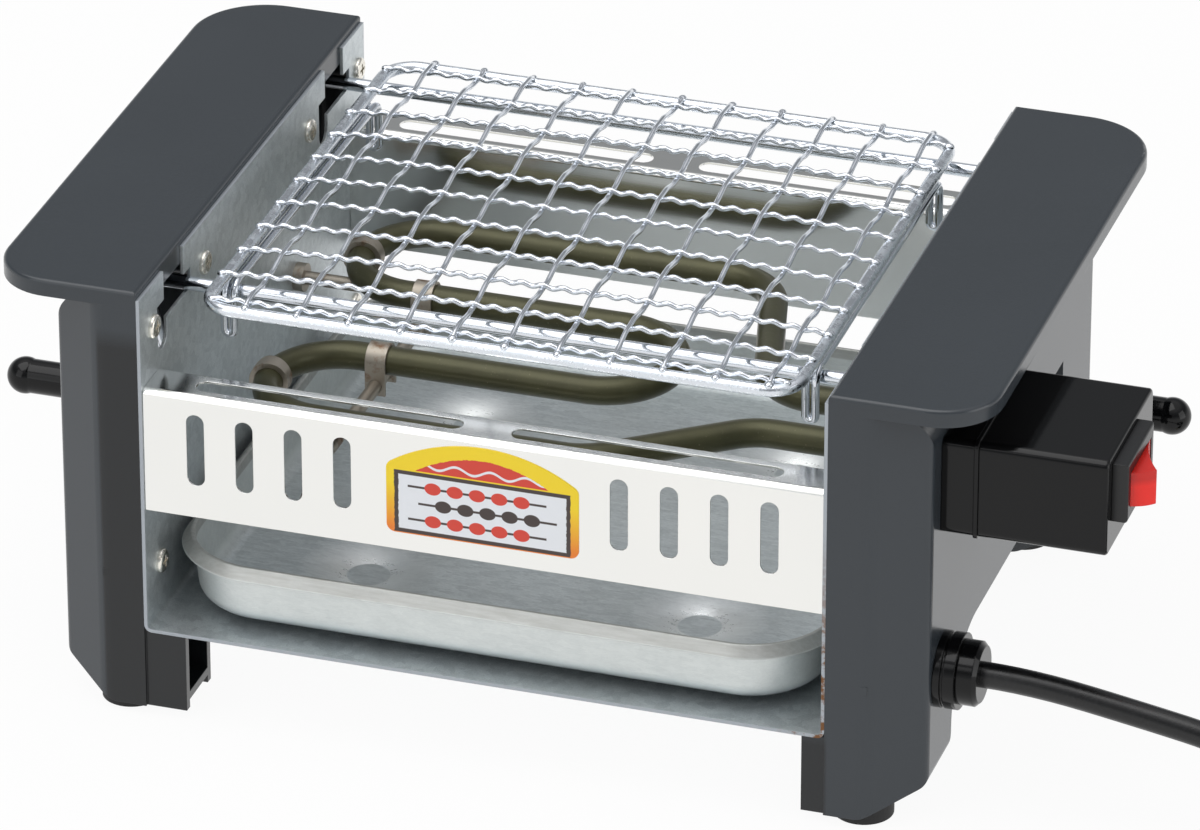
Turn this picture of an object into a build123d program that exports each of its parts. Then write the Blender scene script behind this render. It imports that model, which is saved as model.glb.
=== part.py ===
from build123d import *
from math import cos, degrees, dist, hypot, pi, radians, sin, sqrt, tan
import os

# An electric yakitori grill: a sheet steel trough between two moulded legs, a slide-out drip tray, a
# bent tube heater, a skewer net on two sliding cranked rods, a switch box and a mains lead.
# Millimetres. X runs from left to right, Y from front to back, Z up from the table.
# The sections work from the trough's middle, and save() brings the whole grill's middle to X = 0.

# Trough
trough_half_width = 99.0        # to the outer faces of the side plates
trough_half_depth = 94.0
trough_sheet = 1.0
trough_bottom = 27.0            # underside, above the table
trough_height = 103.7
trough_bend = 1.2               # inside radius of the two bends

# Legs, one moulding a side
leg_width = 27.0                # from the side plate to the outer wall's outer face
leg_wall = 2.5
leg_front_strip = 12.0          # width of the flat front face
leg_bevel_depth = 9.6           # how far back the bevel reaches
leg_strip_round = 8.0           # between the front strip and the bevel
leg_bevel_round = 3.0           # between the bevel and the outer wall
leg_bottom = 3.0
leg_depth = 33.0                # from the front face to the arch
arch_rise = 14.5                # top of the arch above the trough's underside
arch_radius = 24.0
slope_inset = 10.0              # the underside slopes up from this far outside the side plate
slope_rise = 9.0
slope_start_round = 8.0
slope_end_round = 4.0
left_shoe_reach = 11.8          # how far each leg's shoes reach in under the trough
right_shoe_reach = 6.7
shoe_setback = 1.0
shoe_depth = 19.5
shoe_wall = 2.5
shoe_lift = 2.4                 # a shoe's floor is this far above the lower edges of its walls
heel_height = 10.5              # the legs' lower corners at the arch are rounded from here
heel_round = 6.0
deck_drop = 2.7                 # deck's underside below the side plates' upper edge
deck_thickness = 5.0
deck_overhang = 17.0            # beyond the outer wall
deck_front_radius = 17.0
deck_rear_radius = 22.0
deck_edge_round = 1.2
grip_radius = 13.0              # the outer wall curves in under the deck
foot_radius = 8.5
foot_offset = 8.4               # from the side plate out to the middle of a foot
foot_inset = 11.3                # from the leg's front face to the middle of a foot
foot_height = 9.0

# Screws that hold the legs to the side plates
screw_radius = 1.75
screw_length = 10.0
screw_head_radius = 3.5
screw_head_height = 1.5
screw_head_round = 1.0
screw_hole_clearance = 0.15
recess_length = 3.6
recess_width = 0.9
recess_depth = 0.7
upper_screw_drop = 12.5         # below the side plates' upper edge
lower_screw_rise = 16.9         # above the trough's underside
front_screw_inset = 10.15
front_rod_screw_offset = 13.05  # behind the front rod
rear_rod_screw_offset = 33.25   # in front of the rear rod
rear_screw_inset = 5.75
lower_screw_inset = 11.5
boss_radius = 4.0
boss_length = 12.0
boss_rib = 2.5

# Front and rear panels
panel_sheet = 0.6
panel_bend = 1.5
front_panel_setback = 0.6
rear_panel_setback = 14.25
panel_rise = 38.6               # lower edge above the trough's underside
panel_height = 37.7
front_flange = 12.65
rear_flange = 13.5
panel_end_gap = 0.1
vent_width = 5.2
vent_height = 22.0
vent_pitch = 14.27
vent_end_inset = 15.29          # from the side plate to the outermost vent
vent_label_gap = 10.0           # least room between the label and a vent's middle
vent_drop = 16.7                # from the panel's upper edge to the vents' middle
flange_slot_width = 6.0
flange_slot_inner = 7.0
flange_slot_end_inset = 13.5
flange_slot_setback = 6.9
tab_rise = 0.9
tab_height = 9.0
tab_depth = 9.0
tongue_length = 2.2
tongue_clearance = 0.3
label_left = -27.0
label_right = 28.5
label_rise = 5.4                # from the panel's lower edge
label_side_height = 21.0
label_peak_x = 4.8
label_peak_height = 29.7
label_corner = 2.5
label_sheet = 0.25

# Drip tray
tray_clearance = 0.1            # under its feet
tray_side_gap = 1.8
tray_setback = 2.1
tray_height = 21.5
tray_corner = 21.8              # at the foot of the wall
tray_draft = 2.0                # the wall spreads this much towards its top
tray_lip_reach = 4.9            # from the foot of the wall out to the lip's edge
tray_lip_drop = 3.2
tray_lip_width = 1.1            # the slanting lip's thickness, measured level
tray_lip_round = 0.45
tray_sheet = 0.8
tray_base_round = 5.0
tray_foot_radius = 6.15
tray_foot_spread = 22.0         # the floor starts to sink this far from a foot's middle
tray_foot_depth = 2.5
tray_foot_side_inset = 47.25    # from the lip's edge to a foot's middle
tray_foot_end_inset = 44.9

# Sliding rods, with a knob on one end of each
rod_radius = 2.0
rod_drop = 12.7                 # below the side plates' upper edge
front_rod_inset = 38.1
rear_rod_inset = 15.5
rod_travel = 20.6
rod_seat_clearance = 0.3
rod_bend = 8.0
rod_end_reach = 5.0             # past the far side plate
crank_inset = 14.0              # inside the outer wall's outer face
crank_forward = 29.4
crank_drop = 53.2
knob_radius = 5.0
knob_ball_radius = 5.4
knob_wall_gap = 2.5
knob_length = 36.0
knob_end_wall = 6.5
knob_fit = 0.05
window_side_clearance = 3.0
window_above = 10.7
window_below = 11.1

# Stepped slots in the side plates, from each rod's place at rest
slot_channel_width = 7.4
slot_channel_drop = 10.1
slot_pocket_rise = 4.0
slot_mouth_front = 18.85
slot_mouth_rear = 2.85

# Skewer net
net_wire = 3.6
net_side_gap = 13.0             # from the side plate to the border's middle line
net_front_overhang = 24.5       # ahead of the front rod
net_rear_overhang = 3.8         # behind the rear rod
net_corner = 9.0
net_seat_gap = 0.3
net_weld_gap = 0.05
mesh_wire = 1.5
mesh_thickness = 2.4
mesh_pitch_x = 15.0
mesh_pitch_y = 15.3
mesh_shift_x = 3.1              # the grid sits a little off the middle of its border
mesh_shift_y = -2.0
rail_wire = 2.3
rail_spacing = 2.8
rail_inset = 0.8
rail_drop = 11.4                # how far the rails' ends hang below the rods' middle
rail_front_lead = 4.5           # ahead of the front rod
rail_rear_lead = 15.5           # ahead of the rear rod
rail_bend = 4.0
hairpin_slack = 0.02            # leaves the hairpin's two bends a sliver of straight

# Heater
heater_radius = 4.1
heater_rise = 55.5              # above the trough's floor
heater_pitch = 40.0
heater_front_inset = 33.75      # from the trough's front to the first run
heater_left_gap = 18.4          # from the left side plate to the left bends' middle line
heater_middle_run = 106.2       # between the left bends and the right bend
heater_front_corner_gaps = (78.8, 38.7)     # from the right side plate
heater_rear_corner_gaps = (59.7, 42.4)
heater_front_exit = 30.55       # behind the first run
heater_rear_exit = 54.0
heater_corner_radius = 18.0
heater_turn_slack = 0.05
heater_exit_reach = 6.0         # past the right side plate
heater_hole_clearance = 0.4
pin_radius = 1.5
pin_wall_gap = 11.0             # from a pin's end to the outer wall's outer face
seal_length = 5.0
seal_wall = 1.4
collar_wall = 1.45
collar_length = 5.0
collar_fit = 0.05
strap_offset = 25.6             # to the right of the left bends
strap_width = 6.0
strap_sheet = 0.8
stay_radius = 2.0
stay_gap = 0.3                  # between the stay and the heater above it
stay_bend = 8.0
stay_plate_inset = 61.0
stay_clearance = 0.1
stay_drop = 7.0
stay_drop_insets = (24.0, 10.0)
stay_ring_wall = 2.15
stay_ring_length = 3.0

# Switch box
box_inset = 41.25               # from the leg's front face to the box's middle
box_length = 48.0
box_drop = 12.5                 # below the deck's underside
box_height = 29.0
box_base_depth = 10.4
box_cover_depth = 36.1
box_wall = 2.0
box_edge_round = 2.5
box_ridge = 0.5
box_ridge_width = 1.2
bezel_offset_y = -6.1
bezel_offset_z = 3.7
bezel_thickness = 4.5
bezel_border = (1.35, 1.5)      # beyond the switch body at its ends and its sides
bezel_round = 0.8
body_wall = 1.37                # beyond the rocker's pocket at the ends
body_side_wall = 1.95
body_depth = 15.0
body_clearance = 0.1
rocker_height = 10.2
rocker_half_length = 9.28
rocker_rise = 5.48              # from the pivot out to the rocker's ends, when level
rocker_dish = 1.2
rocker_depth = 4.5
rocker_root_half = 5.5
rocker_pivot_reach = 2.3        # pivot outside the box's end
rocker_tilt = 20.0
rocker_gap = 0.15
pivot_radius = 1.0
pivot_fit = 0.05
pivot_reach = 1.3               # how far the pivot pin enters each side of the switch body
blade_width = 4.8
blade_sheet = 0.8
blade_length = 8.0
blade_pitch = 8.0

# Cord gland in the right leg
gland_inset = 22.0              # from the leg's front face
gland_rise = 15.2               # above the trough's underside
gland_flange_radius = 10.8
gland_flange_length = 6.1
gland_groove = 0.8
gland_barrel_radius = 7.0
gland_barrel_clearance = 0.1
gland_nut_radius = 9.2
gland_nut_length = 5.8
back_nut_width = 19.0           # across its flats
back_nut_length = 4.0

# Mains lead, its coil, tie and plug
cord_diameter = 7.4
cord_straight_end = 20.5
coil_centre_x = 280.4
coil_inner_radius = 26.0
coil_turn_gap = 0.6
coil_layer_gap = 0.7
coil_quarters = 11              # quarter turns from the outside to where the spiral reverses
coil_climb = 0.75               # how much of a steady climb the reversal's middle has
coil_lift = 1.0                 # the tie passes under the lowest turns
coil_tail = 30.0
tie_sheet = 0.7
tie_gap = 0.25
tie_width = 4.5
tie_head = 5.0
plug_sleeve_length = 16.0
plug_sleeve_wall = 0.9
plug_length = 32.0
plug_width = 23.0
plug_neck_width = 15.0
plug_thickness = 11.2
plug_height = 5.7               # middle of the plug above the table
plug_edge_round = 2.0
plug_blade_length = 17.0
plug_blade_width = 6.3
plug_blade_sheet = 1.5
plug_blade_pitch = 12.7
plug_blade_hole_radius = 1.5
plug_blade_hole_inset = 4.5

# Wires inside the right leg and the switch box
lead_radius = 1.1
lead_spacing = 3.2              # between the two that leave the gland
lead_riser_inset = 13.0         # inside the outer wall's outer face
lead_turn_reach = 5.0           # past the heater's pins
lead_bend = 5.0
lead_tight_bend = 3.0
live_lead_rise = 41.8           # above the gland, before it leans to the switch
fuse_radius = 2.6
fuse_length = 14.0
fuse_lead = 34.0                # behind the gland
fuse_rise = 19.8                # above the gland

# Worked out from the sizes above
inner_half_width = trough_half_width - trough_sheet
trough_floor = trough_bottom + trough_sheet
trough_top = trough_bottom + trough_height
wall_x = trough_half_width + leg_width
arch_height = trough_bottom + arch_rise
slope_start = trough_half_width + slope_inset
foot_x = trough_half_width + foot_offset
deck_underside = trough_top - deck_drop
panel_bottom = trough_bottom + panel_rise
panel_top = panel_bottom + panel_height
tab_bottom = panel_bottom + tab_rise
panel_faces = (
    front_panel_setback - trough_half_depth,
    trough_half_depth - rear_panel_setback,
)
rod_z = trough_top - rod_drop
front_rod_y = front_rod_inset - trough_half_depth
rear_rod_y = trough_half_depth - rear_rod_inset
front_knob_y = front_rod_y + crank_forward
rear_knob_y = rear_rod_y - crank_forward
knob_z = rod_z - crank_drop
knob_start = wall_x + knob_wall_gap
knob_tip = knob_start + knob_length
knob_bore_end = knob_tip - knob_end_wall
pocket_floor = rod_z - rod_radius - rod_seat_clearance
pocket_top = rod_z + slot_pocket_rise
upper_screw_z = trough_top - upper_screw_drop
upper_screws = [
    (front_screw_inset - trough_half_depth, upper_screw_z),
    (front_rod_y + front_rod_screw_offset, upper_screw_z),
    (rear_rod_y - rear_rod_screw_offset, upper_screw_z),
    (trough_half_depth - rear_screw_inset, upper_screw_z),
]
lower_screw_z = trough_bottom + lower_screw_rise
lower_screw_y = trough_half_depth - lower_screw_inset
lower_screws = [(-lower_screw_y, lower_screw_z), (lower_screw_y, lower_screw_z)]
heater_z = trough_floor + heater_rise
heater_left_x = heater_left_gap - inner_half_width
heater_right_x = heater_left_x + heater_middle_run
heater_exit_x = trough_half_width + heater_exit_reach
pin_end_x = wall_x - pin_wall_gap
heater_runs = [heater_front_inset - trough_half_depth + k * heater_pitch for k in range(4)]
heater_exits = (
    heater_runs[0] + heater_front_exit,
    heater_runs[0] + heater_rear_exit,
)
stay_z = heater_z - heater_radius - stay_gap - stay_radius
stay_plate_y = trough_half_depth - stay_plate_inset
box_mid_y = box_inset - trough_half_depth
box_mid_z = deck_underside - box_drop - box_height / 2
box_parting_x = wall_x + box_base_depth
box_end_x = box_parting_x + box_cover_depth
bezel_mid_y = box_mid_y + bezel_offset_y
bezel_mid_z = box_mid_z + bezel_offset_z
rocker_pivot_x = box_end_x + rocker_pivot_reach
rocker_end_radius = hypot(rocker_rise, rocker_half_length)
rocker_root_radius = hypot(rocker_depth, rocker_root_half)
rocker_reach = (
    rocker_rise * cos(radians(rocker_tilt))
    + rocker_half_length * sin(radians(rocker_tilt))
)
pocket_half_length = rocker_end_radius + rocker_gap
pocket_height = rocker_height + 2 * rocker_gap
body_length = 2 * (pocket_half_length + body_wall)
body_height = pocket_height + 2 * body_side_wall
middle_x = (rocker_pivot_x + rocker_reach - knob_tip) / 2
gland_y = gland_inset - trough_half_depth
gland_z = trough_bottom + gland_rise
cord_radius = cord_diameter / 2
cord_exit_x = wall_x + gland_flange_length + gland_nut_length
coil_step = cord_diameter + coil_turn_gap       # radius gained in each turn
coil_layer = cord_diameter + coil_layer_gap
coil_low_z = cord_radius + coil_lift
coil_high_z = coil_low_z + coil_layer
coil_outer_radius = coil_inner_radius + coil_step * coil_quarters / 4
coil_centre_y = gland_y + coil_outer_radius

os.makedirs("parts", exist_ok=True)


def save(part, name):
    """Write one finished piece, moved so that the whole grill's middle is at X = 0."""
    finished = part.moved(Location((-middle_x, 0, 0)))
    finished.label = name
    export_step(finished, f"parts/{name}.step")


def strip_section(outer_points, inner_points, bend, sheet):
    """The outline of a bent sheet: its outer line, its inner line and the two cut ends."""
    with BuildLine() as outline:
        outer_line = FilletPolyline(*outer_points, radius=bend + sheet)
        inner_line = FilletPolyline(*inner_points, radius=bend)
        Line(outer_line @ 1, inner_line @ 0)
        Line(inner_line @ 1, outer_line @ 0)
    return outline.edges()


def wire_along(points, radii, wire_radius, closed=False):
    """A round wire or tube along straight runs joined by arcs."""
    with BuildPart() as wire:
        with BuildLine() as path:
            FilletPolyline(*points, radius=radii, close=closed)
        with BuildSketch(Plane(origin=path.line @ 0, z_dir=path.line % 0)):
            Circle(wire_radius)
        sweep(path=path.line)
    return wire.part


# Trough: one sheet bent up at both sides, open at the front and the back
with BuildPart() as chassis:
    with BuildSketch(Plane.XZ.offset(-trough_half_depth)):
        trough_section = strip_section(
            [
                (-trough_half_width, trough_top),
                (-trough_half_width, trough_bottom),
                (trough_half_width, trough_bottom),
                (trough_half_width, trough_top),
            ],
            [
                (inner_half_width, trough_top),
                (inner_half_width, trough_floor),
                (-inner_half_width, trough_floor),
                (-inner_half_width, trough_top),
            ],
            trough_bend,
            trough_sheet,
        )
        make_face(trough_section)
    extrude(amount=2 * trough_half_depth)
    # Stepped slots let each rod in from above, hold it behind and let it drop in front
    with BuildSketch(Plane.YZ.offset(-trough_half_width)):
        for rod_y in (front_rod_y, rear_rod_y):
            pocket_rear = rod_y + rod_radius + rod_seat_clearance
            channel_y = rod_y - rod_travel
            channel_front = channel_y - slot_channel_width / 2
            channel_round_z = rod_z - slot_channel_drop + slot_channel_width / 2
            with Locations((pocket_rear, pocket_floor)):
                Rectangle(
                    pocket_rear - channel_front,
                    pocket_top - pocket_floor,
                    align=(Align.MAX, Align.MIN),
                )
            with Locations((rod_y - slot_mouth_rear, pocket_top)):
                Rectangle(
                    slot_mouth_front - slot_mouth_rear,
                    trough_top - pocket_top,
                    align=(Align.MAX, Align.MIN),
                )
            with Locations((channel_y, channel_round_z)):
                Rectangle(
                    slot_channel_width,
                    pocket_floor - channel_round_z,
                    align=(Align.CENTER, Align.MIN),
                )
                Circle(slot_channel_width / 2)
        # Screw holes, and slots for the panels' tongues
        with Locations(*upper_screws, *lower_screws):
            Circle(screw_radius + screw_hole_clearance)
        with Locations(*[(y + tab_depth, tab_bottom + tab_height / 2) for y in panel_faces]):
            Rectangle(
                panel_sheet + 2 * tongue_clearance,
                tab_height + 2 * tongue_clearance,
            )
    extrude(amount=2 * trough_half_width, mode=Mode.SUBTRACT)
    # The heater's two ends leave through the right plate
    with BuildSketch(Plane.YZ.offset(inner_half_width)):
        with Locations(*[(y, heater_z) for y in heater_exits]):
            Circle(heater_radius + heater_hole_clearance)
    extrude(amount=trough_sheet, mode=Mode.SUBTRACT)
    # The heater's stay starts in the left plate
    with BuildSketch(Plane.YZ.offset(-trough_half_width)):
        with Locations((stay_plate_y, stay_z)):
            Circle(stay_radius + stay_clearance)
    extrude(amount=trough_sheet, mode=Mode.SUBTRACT)
save(chassis.part, "chassis")


def panel(face_y, flange, vents):
    """A panel across the trough: a face, a top flange bent back, end ears and their tongues."""
    half_length = inner_half_width - panel_end_gap
    slot_length = inner_half_width - flange_slot_end_inset - flange_slot_inner
    slot_mid_x = flange_slot_inner + slot_length / 2
    with BuildPart() as sheet:
        with BuildSketch(Plane.YZ.offset(-half_length)):
            panel_section = strip_section(
                [
                    (face_y, panel_bottom),
                    (face_y, panel_top),
                    (face_y + flange, panel_top),
                ],
                [
                    (face_y + flange, panel_top - panel_sheet),
                    (face_y + panel_sheet, panel_top - panel_sheet),
                    (face_y + panel_sheet, panel_bottom),
                ],
                panel_bend,
                panel_sheet,
            )
            make_face(panel_section)
        extrude(amount=2 * half_length)
        for end in (1, -1):
            ear_x = end * (half_length - panel_sheet / 2)
            with Locations((ear_x, face_y, tab_bottom)):
                Box(
                    panel_sheet,
                    tab_depth + panel_sheet / 2,
                    tab_height,
                    align=(Align.CENTER, Align.MIN, Align.MIN),
                )
            with Locations((ear_x + end * tongue_length / 2, face_y + tab_depth, tab_bottom)):
                Box(
                    tongue_length + panel_sheet,
                    panel_sheet,
                    tab_height,
                    align=(Align.CENTER, Align.CENTER, Align.MIN),
                )
        with BuildSketch(Plane.XY.offset(panel_top - panel_sheet)):
            with Locations(*[(x * slot_mid_x, face_y + flange_slot_setback) for x in (1, -1)]):
                SlotOverall(slot_length, flange_slot_width)
        extrude(amount=panel_sheet, mode=Mode.SUBTRACT)
        if vents:
            vent_end_x = inner_half_width - vent_end_inset
            vent_room = vent_end_x - label_right - vent_label_gap
            vent_xs = [vent_end_x - k * vent_pitch for k in range(int(vent_room / vent_pitch) + 1)]
            with BuildSketch(Plane.XZ.offset(-face_y)):
                with Locations(*[(s * x, panel_top - vent_drop) for s in (1, -1) for x in vent_xs]):
                    SlotOverall(vent_height, vent_width, rotation=90)
            extrude(amount=-panel_sheet, mode=Mode.SUBTRACT)
    return sheet.part


save(panel(panel_faces[0], front_flange, vents=True), "front_panel")
save(panel(panel_faces[1], rear_flange, vents=False), "rear_panel")

# Label: a thin plate with an arched top, stuck to the front panel
label_bottom = panel_bottom + label_rise
label_side_top = label_bottom + label_side_height
with BuildPart() as label_plate:
    with BuildSketch(Plane.XZ.offset(-panel_faces[0])) as label_face:
        with BuildLine():
            Polyline(
                (label_left, label_side_top),
                (label_left, label_bottom),
                (label_right, label_bottom),
                (label_right, label_side_top),
            )
            ThreePointArc(
                (label_right, label_side_top),
                (label_peak_x, label_bottom + label_peak_height),
                (label_left, label_side_top),
            )
        make_face()
        fillet(label_face.vertices(), radius=label_corner)
    extrude(amount=label_sheet)
save(label_plate.part, "label_plate")


def leg_block(inset):
    """The leg's outer form between its plan and its end view, or the same drawn in by a wall."""
    with BuildPart() as block:
        with BuildSketch(Plane.XY):
            with BuildLine():
                plan = FilletPolyline(
                    (trough_half_width - inset, -trough_half_depth),
                    (trough_half_width + leg_front_strip, -trough_half_depth),
                    (wall_x, leg_bevel_depth - trough_half_depth),
                    (wall_x, trough_half_depth - leg_bevel_depth),
                    (trough_half_width + leg_front_strip, trough_half_depth),
                    (trough_half_width - inset, trough_half_depth),
                    radius=[leg_strip_round, leg_bevel_round, leg_bevel_round, leg_strip_round],
                )
                Line(plan @ 1, plan @ 0)
            make_face()
            if inset:
                offset(amount=-inset, kind=Kind.INTERSECTION, mode=Mode.REPLACE)
        extrude(amount=deck_underside)
        with BuildSketch(Plane.XZ.offset(-trough_half_depth)):
            with BuildLine():
                Polyline(
                    (wall_x - grip_radius, deck_underside),
                    (trough_half_width - leg_front_strip, deck_underside),
                    (trough_half_width - leg_front_strip, leg_bottom),
                )
                FilletPolyline(
                    (trough_half_width - leg_front_strip, leg_bottom),
                    (slope_start, leg_bottom),
                    (wall_x, leg_bottom + slope_rise),
                    (wall_x, deck_underside - grip_radius),
                    radius=[slope_start_round, slope_end_round],
                )
                RadiusArc(
                    (wall_x, deck_underside - grip_radius),
                    (wall_x - grip_radius, deck_underside),
                    -grip_radius,
                )
            make_face()
            if inset:
                offset(amount=-inset, kind=Kind.INTERSECTION, mode=Mode.REPLACE)
        extrude(amount=2 * trough_half_depth, mode=Mode.INTERSECT)
    return block.part


def leg_part(knob_y, shoe_reach, right_side):
    """One leg with its deck, drawn for the right side."""
    front = -trough_half_depth
    with BuildPart() as leg:
        add(leg_block(0))
        add(leg_block(leg_wall), mode=Mode.SUBTRACT)
        # Deck, with the two outer corners rounded
        with BuildSketch(Plane.XY.offset(deck_underside)):
            with BuildLine():
                FilletPolyline(
                    (trough_half_width, front),
                    (wall_x + deck_overhang, front),
                    (wall_x + deck_overhang, trough_half_depth),
                    (trough_half_width, trough_half_depth),
                    radius=[deck_front_radius, deck_rear_radius],
                )
                Line((trough_half_width, trough_half_depth), (trough_half_width, front))
            make_face()
        extrude(amount=deck_thickness)
        fillet(leg.faces().sort_by(Axis.Z)[-1].edges(), radius=deck_edge_round)
        # Arch between the front and the rear leg, whose lower corners are rounded
        post_y = trough_half_depth - leg_depth
        heel_y = post_y + heel_round
        with BuildSketch(Plane.YZ.offset(trough_half_width)):
            with BuildLine():
                Line((-heel_y, 0), (-heel_y, heel_height))
                CenterArc((-heel_y, heel_height + heel_round), heel_round, -90, 90)
                FilletPolyline(
                    (-post_y, heel_height + heel_round),
                    (-post_y, arch_height),
                    (post_y, arch_height),
                    (post_y, heel_height + heel_round),
                    radius=arch_radius,
                )
                CenterArc((heel_y, heel_height + heel_round), heel_round, 180, 90)
                Line((heel_y, heel_height), (heel_y, 0))
                Line((heel_y, 0), (-heel_y, 0))
            make_face()
        extrude(amount=wall_x - trough_half_width, mode=Mode.SUBTRACT)
        # Shoes under the trough, open towards the middle, with a raised floor
        for end in (1, -1):
            shoe_align = Align.MAX if end > 0 else Align.MIN
            wall_y = end * (trough_half_depth - shoe_setback)
            with Locations((trough_half_width, wall_y, leg_bottom)):
                Box(
                    shoe_reach,
                    shoe_depth,
                    trough_bottom - leg_bottom,
                    align=(Align.MAX, shoe_align, Align.MIN),
                )
            hollow_x = trough_half_width - shoe_reach
            hollow_y = wall_y - end * shoe_wall
            floor_z = leg_bottom + shoe_lift
            with Locations((hollow_x, hollow_y, leg_bottom)):
                Box(
                    shoe_reach,
                    shoe_depth - 2 * shoe_wall,
                    shoe_lift,
                    align=(Align.MIN, shoe_align, Align.MIN),
                    mode=Mode.SUBTRACT,
                )
            with Locations((hollow_x, hollow_y, floor_z + shoe_wall)):
                Box(
                    shoe_reach,
                    shoe_depth - 2 * shoe_wall,
                    trough_bottom - floor_z - shoe_wall,
                    align=(Align.MIN, shoe_align, Align.MIN),
                    mode=Mode.SUBTRACT,
                )
        # Screw bosses, tied to the roof above or to the end wall
        with BuildSketch(Plane.YZ.offset(trough_half_width)):
            with Locations(*upper_screws, *lower_screws):
                Circle(boss_radius)
            with Locations(*upper_screws):
                Rectangle(
                    boss_rib,
                    deck_underside - upper_screw_z,
                    align=(Align.CENTER, Align.MIN),
                )
            for end in (1, -1):
                with Locations((end * (lower_screw_y + trough_half_depth) / 2, lower_screw_z)):
                    Rectangle(lower_screw_inset, boss_rib)
        extrude(amount=boss_length)
        with BuildSketch(Plane.YZ.offset(trough_half_width)):
            with Locations(*upper_screws, *lower_screws):
                Circle(screw_radius + screw_hole_clearance)
        extrude(amount=screw_length, mode=Mode.SUBTRACT)
        # Window that the cranked rod slides in
        with BuildSketch(Plane.YZ.offset(wall_x - leg_wall)):
            with Locations((knob_y + window_side_clearance, knob_z - window_below)):
                Rectangle(
                    rod_travel + 2 * window_side_clearance,
                    window_below + window_above,
                    align=(Align.MAX, Align.MIN),
                )
            if right_side:
                with Locations((bezel_mid_y, bezel_mid_z)):
                    Rectangle(body_length, body_height)
                with Locations((gland_y, gland_z)):
                    Circle(gland_barrel_radius + gland_barrel_clearance)
        extrude(amount=leg_wall, mode=Mode.SUBTRACT)
    return leg.part


right_leg = leg_part(rear_knob_y, right_shoe_reach, right_side=True)
left_leg = leg_part(front_knob_y, left_shoe_reach, right_side=False).mirror(Plane.YZ)
save(right_leg, "right_leg")
save(left_leg, "left_leg")

# Rubber feet, cut to the legs' sloping undersides
with BuildPart() as rubber_feet:
    with BuildSketch(Plane.XY):
        with GridLocations(2 * foot_x, 2 * (trough_half_depth - foot_inset), 2, 2):
            Circle(foot_radius)
    extrude(amount=foot_height)
    add(right_leg, mode=Mode.SUBTRACT)
    add(left_leg, mode=Mode.SUBTRACT)
    with BuildSketch(Plane.XY.offset(leg_bottom)):
        Rectangle(2 * slope_start, 2 * trough_half_depth)
    extrude(amount=foot_height, mode=Mode.SUBTRACT)
    with BuildSketch(Plane.XZ.offset(-trough_half_depth)):
        for side in (1, -1):
            with BuildLine():
                Polyline(
                    (side * slope_start, leg_bottom),
                    (side * wall_x, leg_bottom + slope_rise),
                    (side * wall_x, deck_underside),
                    (side * slope_start, deck_underside),
                    close=True,
                )
            make_face()
    extrude(amount=2 * trough_half_depth, mode=Mode.SUBTRACT)
save(rubber_feet.part, "rubber_feet")

# Cross-head screws through the side plates into the legs
with BuildPart() as plate_screws:
    with BuildSketch(Plane.YZ.offset(inner_half_width)):
        with Locations(*upper_screws, *lower_screws):
            Circle(screw_head_radius)
    extrude(amount=-screw_head_height)
    fillet(
        plate_screws.faces().group_by(Axis.X)[0].edges(),
        radius=screw_head_round,
    )
    with BuildSketch(Plane.YZ.offset(inner_half_width)):
        with Locations(*upper_screws, *lower_screws):
            Circle(screw_radius)
    extrude(amount=screw_length)
    with BuildSketch(Plane.YZ.offset(inner_half_width - screw_head_height)):
        with Locations(*upper_screws, *lower_screws):
            Rectangle(recess_length, recess_width)
            Rectangle(recess_width, recess_length)
    extrude(amount=recess_depth, mode=Mode.SUBTRACT)
    mirror(about=Plane.YZ)
save(plate_screws.part, "plate_screws")


tray_half_width = inner_half_width - tray_side_gap
tray_half_depth = trough_half_depth - tray_setback


def tray_form(*rings, base_round=0):
    """A ruled form through rounded rectangles: each one's spread from the wall's foot, and its height."""
    with BuildPart() as form:
        for spread, height in rings:
            with BuildSketch(Plane.XY.offset(height)):
                RectangleRounded(
                    2 * (tray_half_width - tray_lip_reach + spread),
                    2 * (tray_half_depth - tray_lip_reach + spread),
                    tray_corner + spread,
                )
        loft(ruled=True)
        if base_round:
            fillet(form.faces().sort_by(Axis.Z)[0].edges(), radius=base_round)
    return form.part


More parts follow.
